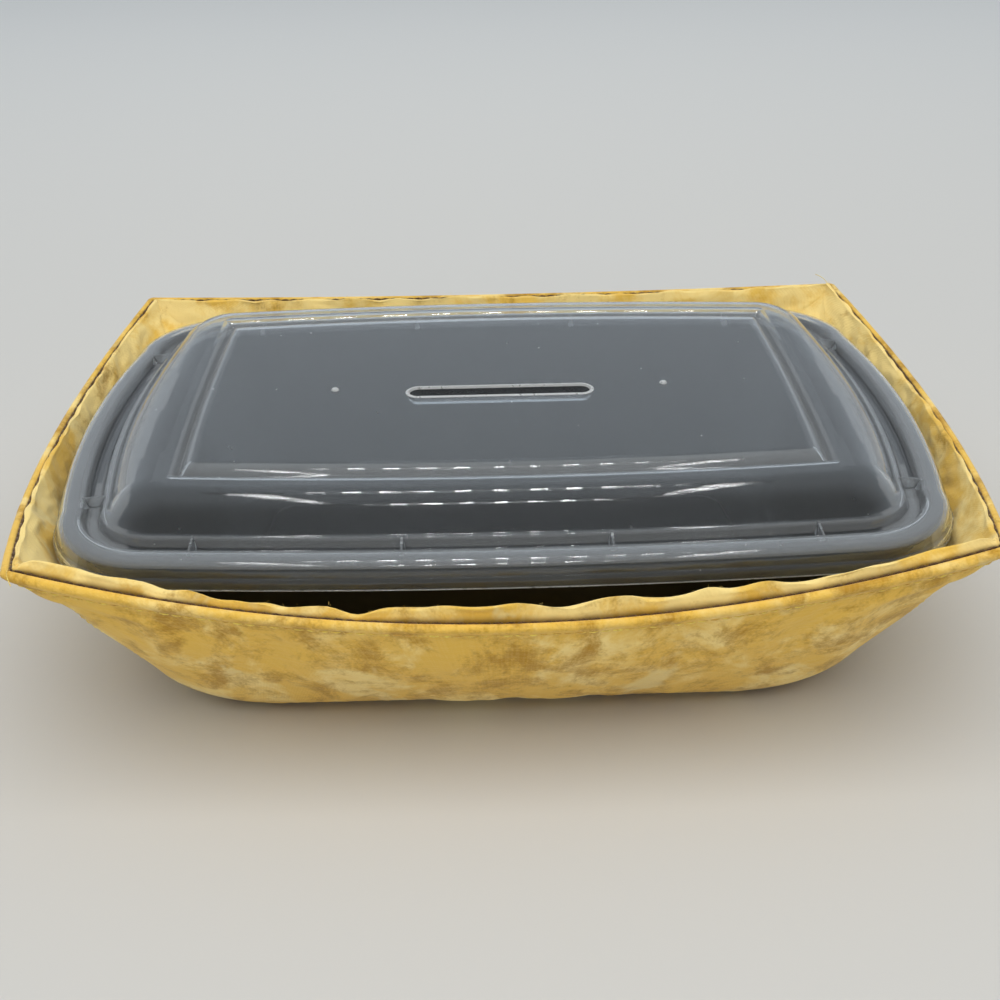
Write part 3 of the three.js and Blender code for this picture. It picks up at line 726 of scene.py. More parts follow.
def lid_rows(sizes):
    """Rows of the lid: from under its slot out to the skirt, and over the top to the slot's floor."""
    bead, top = sizes.bead, sizes.bead + sizes.dome
    lip = 0.0012
    end = sizes.groove_end
    ring = sizes.ring_start
    panel = sizes.panel_edge
    inner = ring + sizes.ring
    valley = inner + 0.0024
    outside = [
        (0, 0, 0),
        (0, 0.0022, 0.0005),
        (lip - 0.0004, 0.003, 0.0002),
        *eased((lip - 0.0003, 0.0036), (lip, bead), (lip + 0.0042, bead), 8),
        (sizes.groove_start, bead, 0.0008),
        (sizes.groove_start + 0.0012, bead - sizes.groove_depth, 0.0007),
        (end - 0.0012, bead - sizes.groove_depth, 0.0007),
        (end, bead, 0.0004),
        *eased((end + 0.0010, bead + 0.0006), (end + 0.0048, top), (ring, top), 14),
        *eased(
            (inner - 0.0012, top), (inner + 0.0006, top), (valley - 0.0004, top - 0.8 * sizes.step), 6,
        ),
        (valley + 0.0004, top - sizes.step, 0.0003),
        *eased((panel - 0.0050, top - 0.9 * sizes.step), (panel - 0.0034, top), (panel, top), 8),
        (panel + 0.004, top, 0),
    ]
    inside = offset_section(outside, sizes.wall)[::-1]
    inside[-1] = (inside[-1][0], 0, 0.0002)
    outside[0] = (0, 0, 0.0003)

    def plan_row(x, z):
        way = clamped((x - end) / (ring - end))
        bows = (
            sizes.end_bow + (sizes.dome_end_bow - sizes.end_bow) * way,
            sizes.side_bow + (sizes.dome_side_bow - sizes.side_bow) * way,
        )
        lean = sizes.end_lean * (way - clamped((x - ring) / (panel - ring)))
        half = (sizes.half[0] - x - lean, sizes.half[1] - x)
        plan = bowed_outline(half, sizes.corner - x, bows, PLASTIC_STEPS)
        return raised(plan, z + sizes.seat)

    def slot_row(spread, z):
        half = [h + spread - 0.0004 for h in sizes.slot_half]
        plan = bowed_outline(half, half[1] - 1e-6, (0, 0), PLASTIC_STEPS)
        plan[:, 1] -= sizes.slot_offset
        return raised(plan, z + sizes.seat)

    floor, wall = top - sizes.slot_depth, sizes.wall
    under = floor - wall
    pan = [
        (-0.0014, under), (wall - 0.0012, under), (wall - 0.0008, under + 0.0004),
        (wall - 0.0005, top - wall),
    ]
    slot = [
        (0.0006, top), (0.0002, top + 0.00025), (-0.0002, top + 0.0002), (-0.0005, top - 0.0004),
        (-0.0008, floor + 0.0005), (-0.0012, floor), (-0.0022, floor),
    ]
    rows = [slot_row(*p) for p in pan]
    rows += [plan_row(*p) for p in rounded_section(inside + outside)]
    return rows + [slot_row(*p) for p in slot]


def lid_ribs(sizes):
    """The groove's cross ribs and the panel's two gate nubs, as one bmesh of separate shapes."""
    bm = bmesh.new()
    outer, inner = sizes.groove_start - 0.0005, sizes.groove_end + 0.0004
    bottom, top = sizes.bead - sizes.groove_depth - 0.0004, sizes.bead - 0.0002
    middle = (outer + inner) / 2

    def rib(x, y, turn):
        made = bmesh.ops.create_cube(bm, size=1.0)["verts"]
        bmesh.ops.scale(bm, verts=made, vec=(0.0011, inner - outer, top - bottom))
        for vert in made:
            vert.co.x *= 1.2 if vert.co.z < 0 else 0.5
            vert.co.z += 0.0006 if vert.co.y > 0 and vert.co.z > 0 else 0.0
        bmesh.ops.rotate(bm, verts=made, matrix=Matrix.Rotation(turn, 3, "Z"))
        bmesh.ops.translate(bm, verts=made, vec=(x, y, (top + bottom) / 2 + sizes.seat))

    def edge_at(along, straight, half, bow):
        return half + bow * max(0.0, 1 - (along / straight) ** 2) - middle

    for i in range(4):
        x = (i - 1.5) * sizes.rib_pitch
        y = edge_at(x, sizes.half[0] - sizes.corner, sizes.half[1], sizes.side_bow)
        rib(x, -y, 0)
        rib(x, y, math.pi)
    for y in (-sizes.end_rib, sizes.end_rib):
        x = edge_at(y, sizes.half[1] - sizes.corner, sizes.half[0], sizes.end_bow)
        rib(x, y, math.pi / 2)
        rib(-x, y, -math.pi / 2)
    for x in (-sizes.gate, sizes.gate):
        nub = bmesh.ops.create_cone(
            bm, cap_ends=True, cap_tris=False, segments=20,
            radius1=0.0013, radius2=0.0008, depth=0.0008,
        )["verts"]
        height = sizes.seat + sizes.bead + sizes.dome
        bmesh.ops.translate(bm, verts=nub, vec=(x, -sizes.gate_offset, height))
    return bm


def lid_finish(sizes, face):
    """Material of a face of the lid: frosted on lip and slot rim, as a painted highlight; hazy on
    bead, valley and ends, partly the plastic's own haze and partly painted reflection.
    """
    bead, top = sizes.seat + sizes.bead, sizes.seat + sizes.bead + sizes.dome
    x, y, z = face.center
    straight = sizes.slot_half[0] - sizes.slot_half[1]
    from_slot = math.hypot(max(abs(x) - straight, 0), y + sizes.slot_offset) - sizes.slot_half[1]
    on_slot_rim = abs(from_slot + 0.0004) < 0.0005 and z > top - 0.0006
    if z < sizes.seat + 0.0005 or on_slot_rim:
        return FROSTED_AND_HIGHLIGHT
    bow = sizes.dome_side_bow * (1 - (x / sizes.half[0]) ** 2)
    inset = min(sizes.half[0] - abs(x), sizes.half[1] + bow - abs(y))
    on_bead = bead - 0.0015 < z < bead + 0.0002
    in_valley = sizes.ring_start + 0.003 < inset < sizes.panel_edge and z < top - 0.0002
    faces_end = z < bead + 0.0005 or abs(face.normal.x) > abs(face.normal.y)
    at_end = faces_end and abs(x) > sizes.haze_start and inset > sizes.groove_start
    return HAZE_AND_REFLECTION if on_bead or in_valley or at_end else face.material_index


def put(tree, kind, sockets=None, **settings):
    """A new node; a socket given as a value is linked, and any other value is set."""
    made = tree.nodes.new(kind)
    for key, value in settings.items():
        setattr(made, key, value)
    for key, value in (sockets or {}).items():
        if isinstance(value, bpy.types.NodeSocket):
            tree.links.new(value, made.inputs[key])
        else:
            made.inputs[key].default_value = value
    return made


def maths(tree, operation, a, b=0.0, c=0.0):
    """The result of a sum."""
    return put(tree, "ShaderNodeMath", {0: a, 1: b, 2: c}, operation=operation).outputs[0]


def ranged(tree, value, low, high, to_low=0.0, to_high=1.0):
    """The value eased from one range to another."""
    sockets = {"Value": value, "From Min": low, "From Max": high, "To Min": to_low, "To Max": to_high}
    return put(tree, "ShaderNodeMapRange", sockets, interpolation_type="SMOOTHSTEP").outputs["Result"]


def blended(tree, factor, a, b):
    """One colour mixed over another."""
    return put(tree, "ShaderNodeMix", {0: factor, 6: a, 7: b}, data_type="RGBA").outputs[2]


def mottle(tree, place, scale, seed, detail=5.0, roughness=0.6, distortion=0.0):
    """Noise at a scale in features per metre."""
    sockets = {
        "Vector": place, "W": seed, "Scale": scale, "Detail": detail,
        "Roughness": roughness, "Distortion": distortion,
    }
    return put(tree, "ShaderNodeTexNoise", sockets, noise_dimensions="4D").outputs["Fac"]


def streaks(tree, place, scale, detail, turn=0.0):
    """Noise drawn out along an axis; scale is in features per metre along each axis."""
    sockets = {"Vector": place, "Rotation": (0, 0, turn), "Scale": scale}
    drawn = put(tree, "ShaderNodeMapping", sockets).outputs[0]
    sockets = {"Vector": drawn, "Scale": 1.0, "Detail": detail}
    return put(tree, "ShaderNodeTexNoise", sockets).outputs["Fac"]


def new_group(name, inputs, outputs):
    """An empty node group with its sockets; returns it with its input and output sockets."""
    group = bpy.data.node_groups.new(name, "ShaderNodeTree")
    for label, kind in inputs:
        group.interface.new_socket(label, in_out="INPUT", socket_type="NodeSocket" + kind)
    for label, kind in outputs:
        group.interface.new_socket(label, in_out="OUTPUT", socket_type="NodeSocket" + kind)
    entry = group.nodes.new("NodeGroupInput")
    leave = group.nodes.new("NodeGroupOutput")
    return group, entry.outputs, leave.inputs


def printed_mottle():
    """Node group: a washed, speckled print in four colours."""
    name = "Printed mottle"
    if name in bpy.data.node_groups:
        return bpy.data.node_groups[name]
    colours = [("Cream", "Color"), ("Gold", "Color"), ("Ochre", "Color"), ("Pale", "Color")]
    inputs = [("Place", "Vector"), ("Seed", "Float"), ("Light", "Float")] + colours
    group, given, result = new_group(name, inputs, [("Color", "Color")])
    place, seed = given["Place"], given["Seed"]
    wash = mottle(group, place, 46, seed, 7, 0.64, 0.7)
    # This value shifts the print. Above 0, on the lining, the lighter print is painted light from
    # above. Below 0, on the cover, the darker print is partly its own tone and partly painted shade of
    # the outer face.
    lighter = maths(group, "ADD", wash, given["Light"])
    ground = blended(group, ranged(group, lighter, 0.44, 0.6), given["Gold"], given["Cream"])
    speckle = mottle(group, place, 1500, seed, 2, 0.5)
    blot = mottle(group, place, 84, maths(group, "ADD", seed, 7.3), 7, 0.66, 0.4)
    darker = maths(group, "SUBTRACT", blot, given["Light"])
    stippled = maths(group, "MULTIPLY_ADD", maths(group, "SUBTRACT", speckle, 0.5), 0.13, darker)
    dark = ranged(group, stippled, 0.49, 0.68, 0.0, 0.9)
    toned = blended(group, dark, ground, given["Ochre"])
    faded = mottle(group, place, 38, maths(group, "ADD", seed, 19.1), 4, 0.55, 0.8)
    pale = ranged(group, faded, 0.6, 0.68, 0.0, 0.7)
    group.links.new(blended(group, pale, toned, given["Pale"]), result["Color"])
    return group


def plain_weave():
    """Node group: crossing threads over a UV map in metres, with uneven yarn."""
    name = "Plain weave"
    if name in bpy.data.node_groups:
        return bpy.data.node_groups[name]
    group, given, result = new_group(
        name, [("Cloth", "Vector"), ("Threads", "Float")], [("Height", "Float"), ("Slub", "Float")]
    )
    across = put(group, "ShaderNodeSeparateXYZ", {0: given["Cloth"]}).outputs
    turns = maths(group, "MULTIPLY", given["Threads"], math.pi)
    warp = maths(group, "SINE", maths(group, "MULTIPLY", across["X"], turns))
    weft = maths(group, "SINE", maths(group, "MULTIPLY", across["Y"], turns))
    group.links.new(maths(group, "MULTIPLY", warp, weft), result["Height"])
    yarn = streaks(group, given["Cloth"], (60, 1600, 1), 2.0)
    crossing = streaks(group, given["Cloth"], (1600, 60, 1), 2.0)
    both = maths(group, "MULTIPLY", yarn, crossing)
    group.links.new(ranged(group, both, 0.12, 0.4), result["Slub"])
    return group


def handling_marks():
    """Node group: fine scratches, smears and specks of dust on moulded plastic."""
    name = "Handling marks"
    if name in bpy.data.node_groups:
        return bpy.data.node_groups[name]
    group, given, result = new_group(
        name, [("Place", "Vector")], [("Smear", "Float"), ("Scratch", "Float"), ("Dust", "Float")]
    )
    smear = mottle(group, given["Place"], 26, 2.0, 5, 0.6, 1.2)
    group.links.new(ranged(group, smear, 0.4, 0.7), result["Smear"])
    lines = streaks(group, given["Place"], (22, 900, 40), 3.0, 0.35)
    group.links.new(ranged(group, lines, 0.66, 0.74), result["Scratch"])
    specks = put(group, "ShaderNodeTexVoronoi", {"Vector": given["Place"], "Scale": 210.0})
    near = ranged(group, specks.outputs["Distance"], 0.075, 0.03)
    some = mottle(group, given["Place"], 95, 5.0, 2)
    group.links.new(maths(group, "MULTIPLY", near, ranged(group, some, 0.56, 0.6)), result["Dust"])
    return group


def new_material(name):
    """A material with one Principled shader; returns it, its tree and the shader's inputs."""
    material = bpy.data.materials.new(name)
    material.use_nodes = True
    tree = material.node_tree
    tree.nodes.clear()
    leave = tree.nodes.new("ShaderNodeOutputMaterial")
    shader = tree.nodes.new("ShaderNodeBsdfPrincipled")
    tree.links.new(shader.outputs["BSDF"], leave.inputs["Surface"])
    return material, tree, shader.inputs


def bumped(tree, height, strength, distance, normal=None):
    """The surface's normal, bumped by a height."""
    sockets = {"Strength": strength, "Distance": distance, "Height": height}
    if normal is not None:
        sockets["Normal"] = normal
    return put(tree, "ShaderNodeBump", sockets).outputs["Normal"]


def cotton(name, finishes, seed, light):
    """Printed quilting cotton: a gold mottle, a plain weave, soft small creases and painted shade
    along its seams.
    """
    material, tree, shader = new_material(name)
    place = put(tree, "ShaderNodeTexCoord").outputs["Object"]
    cloth = put(tree, "ShaderNodeUVMap", uv_map="Cloth").outputs["UV"]
    sockets = {
        "Place": place, "Seed": seed, "Light": light, "Cream": finishes.cream, "Gold": finishes.gold,
        "Ochre": finishes.ochre, "Pale": finishes.pale,
    }
    printed = put(tree, "ShaderNodeGroup", sockets, node_tree=printed_mottle()).outputs["Color"]
    threads = {"Cloth": cloth, "Threads": 2100.0}
    weave = put(tree, "ShaderNodeGroup", threads, node_tree=plain_weave()).outputs
    worn = blended(tree, maths(tree, "MULTIPLY", weave["Slub"], 0.16), printed, finishes.cream)
    # Painted shade: where the seam attribute marks a seam, the cloth darkens towards a dark ochre,
    # standing in for the shadow in its ditch and crease.
    seam = put(tree, "ShaderNodeAttribute", attribute_name="seam").outputs["Fac"]
    seam_shade_colour = [c * 0.3 for c in finishes.ochre[:3]] + [1.0]
    seam_shade = ranged(tree, seam, 0.08, 0.85, 0.0, 0.8)
    tree.links.new(blended(tree, seam_shade, worn, seam_shade_colour), shader["Base Color"])
    shader["Roughness"].default_value = 0.92
    shader["Specular IOR Level"].default_value = 0.2
    shader["Sheen Weight"].default_value = 0.25
    shader["Sheen Roughness"].default_value = 0.5
    shader["Sheen Tint"].default_value = (1.0, 0.93, 0.75, 1.0)
    crease = mottle(tree, place, 95, seed, 5, 0.55, 0.6)
    soft = bumped(tree, crease, 0.5, 0.002)
    tree.links.new(bumped(tree, weave["Height"], 0.2, 0.0001, soft), shader["Normal"])
    return material


def sewing_thread(name, tint):
    """Cotton thread with its twist."""
    material, tree, shader = new_material(name)
    place = put(tree, "ShaderNodeTexCoord").outputs["Object"]
    shade = ranged(tree, mottle(tree, place, 420, 1.0, 3), 0.35, 0.7)
    lighter = [min(1.0, c * 1.9) for c in tint[:3]] + [1.0]
    tree.links.new(blended(tree, shade, tint, lighter), shader["Base Color"])
    shader["Roughness"].default_value = 0.75
    shader["Sheen Weight"].default_value = 0.2
    twist = put(
        tree, "ShaderNodeTexWave", {"Vector": place, "Scale": 900.0, "Distortion": 0.6},
        wave_type="BANDS", bands_direction="DIAGONAL",
    )
    tree.links.new(bumped(tree, twist.outputs["Fac"], 0.6, 0.0001), shader["Normal"])
    return material


def black_plastic(finishes):
    """Black moulded plastic with a fine grain and light handling marks."""
    material, tree, shader = new_material("Black plastic")
    place = put(tree, "ShaderNodeTexCoord").outputs["Object"]
    marks = put(tree, "ShaderNodeGroup", {"Place": place}, node_tree=handling_marks()).outputs
    dusty = maths(tree, "MULTIPLY", marks["Dust"], 0.25)
    tree.links.new(blended(tree, dusty, finishes.tray, (0.4, 0.4, 0.4, 1)), shader["Base Color"])
    rough = ranged(tree, marks["Smear"], 0.0, 1.0, 0.3, 0.42)
    tree.links.new(rough, shader["Roughness"])
    grain = mottle(tree, place, 2600, 0.0, 2)
    scored = bumped(tree, marks["Scratch"], 0.08, 0.0001)
    tree.links.new(bumped(tree, grain, 0.12, 0.0001, scored), shader["Normal"])
    return material


def clear_plastic(name, finishes, sizes, clearness):
    """Clear plastic with a milky cast, moulding ripples, flow rings at its gates and fine marks."""
    material, tree, shader = new_material(name)
    place = put(tree, "ShaderNodeTexCoord").outputs["Object"]
    marks = put(tree, "ShaderNodeGroup", {"Place": place}, node_tree=handling_marks()).outputs
    dusty = maths(tree, "MULTIPLY", marks["Dust"], 0.6)
    tree.links.new(blended(tree, dusty, finishes.lid, (1, 1, 1, 1)), shader["Base Color"])
    smooth = ranged(tree, marks["Smear"], 0.0, 1.0, 0.02, 0.07)
    dull = maths(tree, "MULTIPLY", marks["Dust"], 0.7)
    tree.links.new(maths(tree, "MAXIMUM", smooth, dull), shader["Roughness"])
    shader["IOR"].default_value = 1.49
    shader["Transmission Weight"].default_value = clearness
    peel = mottle(tree, place, 170, 0.0, 2, 0.5, 0.4)
    normal = bumped(tree, peel, 0.4, 0.00006)
    rings = []
    for x in (-sizes.gate, sizes.gate):
        gate = (x, -sizes.gate_offset, sizes.seat + sizes.bead + sizes.dome)
        far = put(tree, "ShaderNodeVectorMath", {0: place, 1: gate}, operation="DISTANCE")
        off_ring = maths(tree, "SUBTRACT", far.outputs["Value"], FLOW_RING)
        rings.append(ranged(tree, maths(tree, "ABSOLUTE", off_ring), 0.0007, 0.0))
    normal = bumped(tree, maths(tree, "ADD", *rings), 0.3, 0.00005, normal)
    tree.links.new(bumped(tree, marks["Scratch"], 0.1, 0.00005, normal), shader["Normal"])
    return material


def frosted_and_highlight_plastic(finishes):
    """The same plastic where it is thick or cut, and so milky: ribs, gate nubs and the lip's edge; on
    the lip's edge and the slot's rim its whiteness is a painted highlight.
    """
    material, tree, shader = new_material("Frosted plastic and painted highlight")
    place = put(tree, "ShaderNodeTexCoord").outputs["Object"]
    cloud = mottle(tree, place, 600, 0.0, 3)
    tree.links.new(blended(tree, cloud, finishes.lid, (1, 1, 1, 1)), shader["Base Color"])
    tree.links.new(ranged(tree, cloud, 0.3, 0.7, 0.25, 0.4), shader["Roughness"])
    shader["IOR"].default_value = 1.49
    shader["Transmission Weight"].default_value = 0.55
    tree.links.new(bumped(tree, cloud, 0.2, 0.0001), shader["Normal"])
    return material


def thread_material(name, tint):
    """The thread of that name, made on first use."""
    return bpy.data.materials.get(name) or sewing_thread(name, tint)


class CozyOperator:
    """What the operators share"""

    bl_options = {"REGISTER", "UNDO"}


class COZY_OT_cover(CozyOperator, bpy.types.Operator):
    """Model the printed cover with its batting"""

    bl_idname = "cozy.cover"
    bl_label = "Cover"

    def execute(self, context):
        sizes = context.scene.cozy_sizes
        # A darker print for the cover: partly its own tone, partly painted shade of the outer face.
        material = cotton("Cover cotton", context.scene.cozy_finishes, 3.0, -0.035)
        rows = cover_rows(sizes)
        reference = cozy_row(sizes, 0.8, 0)
        piece = padded_piece(
            "cover_pad", rows, reference, material, 1.5, 0.02, lambda z: 0.0004 + 0.03 * z,
        )
        belongs(piece, "cozy", "printed_cotton", "outer_cover", "outer_batting")
        return {"FINISHED"}


class COZY_OT_lining(CozyOperator, bpy.types.Operator):
    """Model the printed lining with its batting and its puffed roll"""

    bl_idname = "cozy.lining"
    bl_label = "Lining"

    def execute(self, context):
        sizes = context.scene.cozy_sizes
        # A lighter print for the lining: painted light, standing in for the light that falls on it
        # from above.
        material = cotton("Lining cotton", context.scene.cozy_finishes, 11.0, 0.04)
        rows = lining_rows(sizes)
        reference = cozy_row(sizes, 0.8, sizes.padding)
        piece = padded_piece(
            "lining_pad", rows, reference, material, 1.0, 0.055, lambda z: 0.0003 + 0.018 * z,
        )
        belongs(piece, "cozy", "printed_cotton", "lining", "lining_batting")
        chance = random.Random(5)
        mesh = piece.data
        rim = sizes.rim_height - sizes.front_dip - 0.002
        crest = [v for v in mesh.vertices if v.normal.z > 0.25 and v.co.z > rim]
        picked = chance.sample(crest, min(LINT_COUNT, len(crest)))
        roots = [v.co + Vector([chance.uniform(-0.0006, 0.0006) for _ in range(3)]) for v in picked]
        ways = [v.normal for v in picked]
        lint = fibres("lint", roots, LINT_LENGTH, LINT_THICKNESS, ways, material, 8)
        belongs(lint, "cozy", "printed_cotton")
        return {"FINISHED"}


class COZY_OT_rim_stitching(CozyOperator, bpy.types.Operator):
    """Sew the topstitching round the rim"""

    bl_idname = "cozy.rim_stitching"
    bl_label = "Rim Stitching"

    def execute(self, context):
        sizes = context.scene.cozy_sizes
        finishes = context.scene.cozy_finishes
        # This thread's colour carries painted shade of the seam's ditch.
        material = thread_material("Topstitching thread", finishes.thread)
        seam = cozy_row(sizes, 1, sizes.rim_turn + 0.0001, lift=-sizes.seam_ditch + sizes.thread / 2)
        run = stitches("rim_stitches", seam, np.tile(UP, (len(seam), 1)), sizes, True, material)
        belongs(run, "cozy", "sewing_thread", "rim_needle_thread")
        material = thread_material("Seam thread", finishes.seam_thread)
        line = cozy_row(sizes, below_rim(sizes, sizes.outside_stitch), 0.00055)
        cover = bpy.data.objects.get("cover_pad")
        run = stitches("rim_stitches_outside", line, -inward(line), sizes, True, material, cover)
        belongs(run, "cozy", "sewing_thread", "rim_bobbin_thread")
        count = len(seam)
        starts = [corner_column(i, CLOTH_STEPS) + past for i, past in ((3, -3), (1, 4), (0, 9))]
        ways = [UP - 0.7 * inward(seam)[i % count] for i in starts]
        roots = [seam[i % count, :3] for i in starts]
        ends = fibres("loose_ends", roots, LOOSE_END, LOOSE_THICKNESS, ways, material, 2)
        belongs(ends, "cozy", "sewing_thread")
        return {"FINISHED"}


class COZY_OT_dart_stitching(CozyOperator, bpy.types.Operator):
    """Sew the seam of each corner, in the cover and in the lining"""

    bl_idname = "cozy.dart_stitching"
    bl_label = "Corner Stitching"

    def execute(self, context):
        sizes = context.scene.cozy_sizes
        material = thread_material("Seam thread", context.scene.cozy_finishes.seam_thread)
        rises = np.linspace(0.3, 0.86, 12)
        for layer, depth, side in (("cover", 0.0007, 1), ("lining", sizes.padding - 0.0004, -1)):
            cloth = bpy.data.objects.get(f"{layer}_pad")
            rows = [pinched(cozy_row(sizes, rise, depth), side) for rise in rises]
            for i, corner in enumerate(CORNERS):
                column = corner_column(i, CLOTH_STEPS)
                path = np.array([row[column, :3] for row in rows])
                out = np.array((*np.sign(path[0, :2]), -0.4))
                away = np.tile(side * out / np.linalg.norm(out), (len(path), 1))
                name = f"corner_stitches_{layer}_{corner}"
                run = stitches(name, path, away, sizes, False, material, cloth)
                belongs(run, "cozy", "sewing_thread", f"{layer}_dart_thread_{corner}")
        return {"FINISHED"}


class COZY_OT_tray(CozyOperator, bpy.types.Operator):
    """Model the black tray"""

    bl_idname = "cozy.tray"
    bl_label = "Tray"

    def execute(self, context):
        sizes = context.scene.tray_sizes
        material = black_plastic(context.scene.cozy_finishes)
        piece = new_piece("tray", loft(tray_rows(sizes)), material)
        finish_moulding(piece, 50)
        belongs(piece, "container", "black_polypropylene", "container")
        return {"FINISHED"}


class COZY_OT_lid(CozyOperator, bpy.types.Operator):
    """Model the clear lid with its ribs, slot and gate nubs"""

    bl_idname = "cozy.lid"
    bl_label = "Lid"

    def execute(self, context):
        sizes = context.scene.lid_sizes
        finishes = context.scene.cozy_finishes
        material = clear_plastic("Clear plastic", finishes, sizes, 0.965)
        # A hazier copy of the clear plastic for bead, valley and ends: partly its own haze, partly
        # painted reflection.
        haze_and_reflection = clear_plastic("Clear plastic, haze and painted reflection", finishes, sizes, 0.88)
        bm = loft(lid_rows(sizes))
        bmesh.ops.remove_doubles(bm, verts=bm.verts, dist=1e-6)
        bmesh.ops.recalc_face_normals(bm, faces=bm.faces)
        shell = new_piece("lid_shell", bm, material)
        frosted_and_highlight = frosted_and_highlight_plastic(finishes)
        ribs = new_piece("lid_ribs", lid_ribs(sizes), frosted_and_highlight)
        join = shell.modifiers.new("Ribs", "BOOLEAN")
        join.operation = "UNION"
        join.solver = "MANIFOLD"
        join.object = ribs
        join.material_mode = "TRANSFER"
        piece = baked(shell, "clear_lid", material, frosted_and_highlight, haze_and_reflection)
        for face in piece.data.polygons:
            face.material_index = lid_finish(sizes, face)
        bpy.data.objects.remove(ribs)
        finish_moulding(piece, 40)
        belongs(piece, "lid", "clear_polypropylene", "lid")
        return {"FINISHED"}


def ground_material(finishes):
    """Pale ground that keeps the object's shadow, with painted light: paler towards the back, where
    the lamps' light falls off.
    """
    material, tree, shader = new_material("Pale ground")
    place = put(tree, "ShaderNodeTexCoord").outputs["Object"]
    back = put(tree, "ShaderNodeSeparateXYZ", {0: place}).outputs["Y"]
    lit_back_colour = [min(1.0, c * 1.5) for c in finishes.ground[:3]] + [1.0]
    # Painted light: the ground's colour grows paler from front to back.
    tint = blended(tree, ranged(tree, back, -0.1, 0.9), finishes.ground, lit_back_colour)
    tree.links.new(tint, shader["Base Color"])
    shader["Roughness"].default_value = 0.9
    shader["Specular IOR Level"].default_value = 0.1
    return material


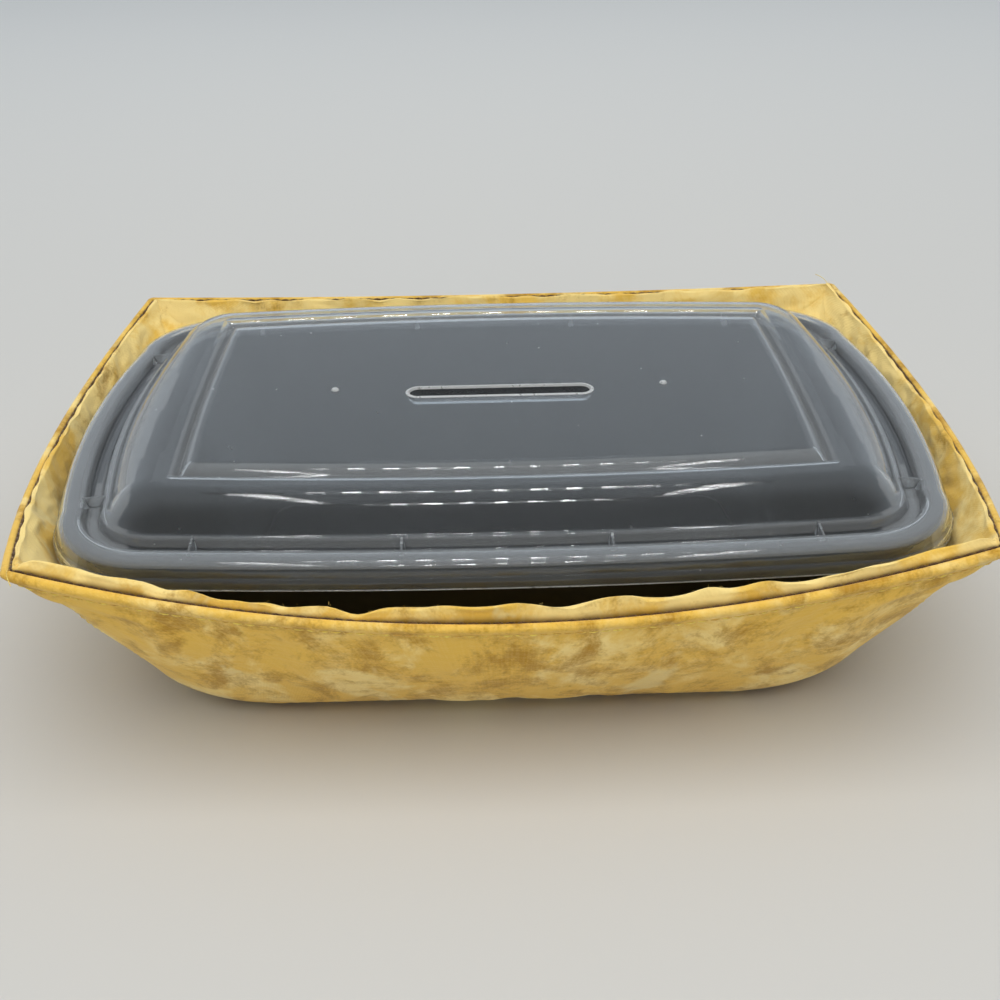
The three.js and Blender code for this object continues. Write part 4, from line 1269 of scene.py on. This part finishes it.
class COZY_OT_stage(CozyOperator, bpy.types.Operator):
    """Set up the floor, the light and the camera"""

    bl_idname = "cozy.stage"
    bl_label = "Stage"

    def execute(self, context):
        scene = context.scene
        scene.view_settings.view_transform = "Standard"
        self.ground(scene)
        self.world(scene)
        self.lamp_rows()
        self.lamp(scene, "Overhead", (0.0, -0.3, 0.9), (0, 0, 0), (1.4, 1.0), 8.5)
        self.lamp(scene, "Front fill", (-0.1, -1.2, 0.3), (0, 0, 0.03), (1.0, 0.4), 1.7)
        self.camera(scene)
        return {"FINISHED"}

    def ground(self, scene):
        bm = bmesh.new()
        bmesh.ops.create_grid(bm, x_segments=4, y_segments=4, size=5.0)
        bmesh.ops.translate(bm, verts=bm.verts, vec=(0, 0, -0.0002))
        new_piece("ground", bm, ground_material(scene.cozy_finishes))

    def world(self, scene):
        """Pale walls behind and above, a dimmer open front, and a pale skyline all round."""
        world = bpy.data.worlds.new("Studio")
        world.use_nodes = True
        tree = world.node_tree
        towards = put(tree, "ShaderNodeTexCoord").outputs["Generated"]
        way = put(tree, "ShaderNodeSeparateXYZ", {0: towards}).outputs
        back = maths(tree, "ADD", way["Y"], maths(tree, "MULTIPLY", way["Z"], 0.45))
        walls = ranged(tree, back, -0.5, 0.4, 0.12, 0.62)
        low = ranged(tree, way["Z"], 0.24, 0.1, 0.0, 0.62)
        background = tree.nodes["Background"]
        background.inputs["Color"].default_value = (0.82, 0.91, 1.0, 1)
        tree.links.new(maths(tree, "MAXIMUM", walls, low), background.inputs["Strength"])
        scene.world = world

    def lamp_card(self, bm, corners, cuts):
        """A flat card between four corners; its glow fades from the middle to the edges."""
        glow = bm.verts.layers.float.get("glow") or bm.verts.layers.float.new("glow")
        made = bmesh.ops.create_grid(bm, x_segments=cuts, y_segments=cuts, size=1.0)["verts"]
        near_left, near_right, far_left, far_right = (Vector(c) for c in corners)
        for vert in made:
            u, v = (vert.co.x + 1) / 2, (vert.co.y + 1) / 2
            vert.co = near_left.lerp(near_right, u).lerp(far_left.lerp(far_right, u), v)
            vert[glow] = math.sin(math.pi * u) * math.sin(math.pi * v)

    def lamp_rows(self):
        """Two rows of small bright lamps and a panel at each side, seen only in reflections."""
        near, far = (-0.28, 0.43), (0.03, 0.49)
        rows = bmesh.new()
        for (y, z), reach, half in ((near, 0.1, 0.014), (far, 0.145, 0.018)):
            self.lamp_card(rows, [(x, y + d, z) for d in (-half, half) for x in (-reach, reach)], 16)
        panels = bmesh.new()
        for side in (-1, 1):
            ends = [(0.1, *near), (0.115, *near), (0.14, *far), (0.185, *far)]
            self.lamp_card(panels, [(side * x, y, z) for x, y, z in ends], 8)
        for name, bm, dashed in (("lamp_rows", rows, True), ("lamp_panels", panels, False)):
            material, tree, shader = new_material(name)
            shader["Base Color"].default_value = (0, 0, 0, 1)
            shader["Emission Strength"].default_value = 60.0 if dashed else 30.0
            place = put(tree, "ShaderNodeTexCoord").outputs["Object"]
            glow = put(tree, "ShaderNodeAttribute", attribute_name="glow").outputs["Fac"]
            if dashed:
                along = put(tree, "ShaderNodeSeparateXYZ", {0: place}).outputs["X"]
                turns = maths(tree, "MULTIPLY", along, 2 * math.pi / LAMP_PITCH)
                pattern = ranged(tree, maths(tree, "SINE", turns), 0.1, 0.5, 0.03, 1.0)
            else:
                crinkle = mottle(tree, place, 55, 0.0, 4, 0.65, 1.5)
                pattern = ranged(tree, crinkle, 0.45, 0.62)
            lit = maths(tree, "MULTIPLY", pattern, ranged(tree, glow, 0.1, 0.7))
            tree.links.new(lit, shader["Emission Color"])
            lamps = new_piece(name, bm, material)
            lamps.visible_camera = lamps.visible_diffuse = lamps.visible_shadow = False

    def lamp(self, scene, name, place, target, size, power):
        light = bpy.data.lights.new(name, "AREA")
        light.shape = "RECTANGLE"
        light.size, light.size_y = size
        light.energy = power
        light.color = (1.0, 0.95, 0.87)
        lamp = bpy.data.objects.new(name, light)
        lamp.location = place
        lamp.visible_glossy = lamp.visible_transmission = False
        lamp.rotation_euler = (Vector(target) - Vector(place)).to_track_quat("-Z", "Y").to_euler()
        scene.collection.objects.link(lamp)

    def camera(self, scene):
        pitch, yaw, roll = 0.5300, 0.0199, -0.0137
        level = math.cos(pitch)
        ahead = Vector((math.sin(yaw) * level, math.cos(yaw) * level, -math.sin(pitch)))
        right = Vector((math.cos(yaw), -math.sin(yaw), 0))
        up = right.cross(ahead)
        across = right * math.cos(roll) + up * math.sin(roll)
        above = up * math.cos(roll) - right * math.sin(roll)
        data = bpy.data.cameras.new("Camera")
        data.sensor_width = 36.0
        data.lens = 47.52
        camera = bpy.data.objects.new("Camera", data)
        turn = Matrix((across, above, -ahead)).transposed().to_4x4()
        camera.matrix_world = Matrix.Translation((-0.00664, -0.32174, 0.21407)) @ turn
        scene.collection.objects.link(camera)
        scene.camera = camera


class COZY_PT_panel(bpy.types.Panel):
    """Sizes, colours and pieces of the cozy"""

    bl_idname = "COZY_PT_panel"
    bl_label = "Container Cozy"
    bl_space_type = "VIEW_3D"
    bl_region_type = "UI"
    bl_category = "Cozy"

    def draw(self, context):
        layout = self.layout
        for operator in OPERATORS:
            layout.operator(operator.bl_idname)
        for pointer in POINTERS:
            group = getattr(context.scene, pointer)
            box = layout.box()
            box.label(text=group.bl_rna.description)
            for name in group.__annotations__:
                box.prop(group, name)


OPERATORS = (
    COZY_OT_stage,
    COZY_OT_cover,
    COZY_OT_lining,
    COZY_OT_rim_stitching,
    COZY_OT_dart_stitching,
    COZY_OT_tray,
    COZY_OT_lid,
)
POINTERS = {
    "cozy_sizes": CozySizes,
    "tray_sizes": TraySizes,
    "lid_sizes": LidSizes,
    "cozy_finishes": Finishes,
}


def register():
    for group in POINTERS.values():
        bpy.utils.register_class(group)
    for name, group in POINTERS.items():
        setattr(bpy.types.Scene, name, PointerProperty(type=group))
    for made in (*OPERATORS, COZY_PT_panel):
        bpy.utils.register_class(made)


def unregister():
    for made in (COZY_PT_panel, *reversed(OPERATORS)):
        bpy.utils.unregister_class(made)
    for name in POINTERS:
        delattr(bpy.types.Scene, name)
    for group in reversed(POINTERS.values()):
        bpy.utils.unregister_class(group)


def main():
    register()
    bpy.ops.cozy.stage()
    bpy.ops.cozy.cover()
    bpy.ops.cozy.lining()
    bpy.ops.cozy.rim_stitching()
    bpy.ops.cozy.dart_stitching()
    bpy.ops.cozy.tray()
    bpy.ops.cozy.lid()


if __name__ == "__main__":
    main()
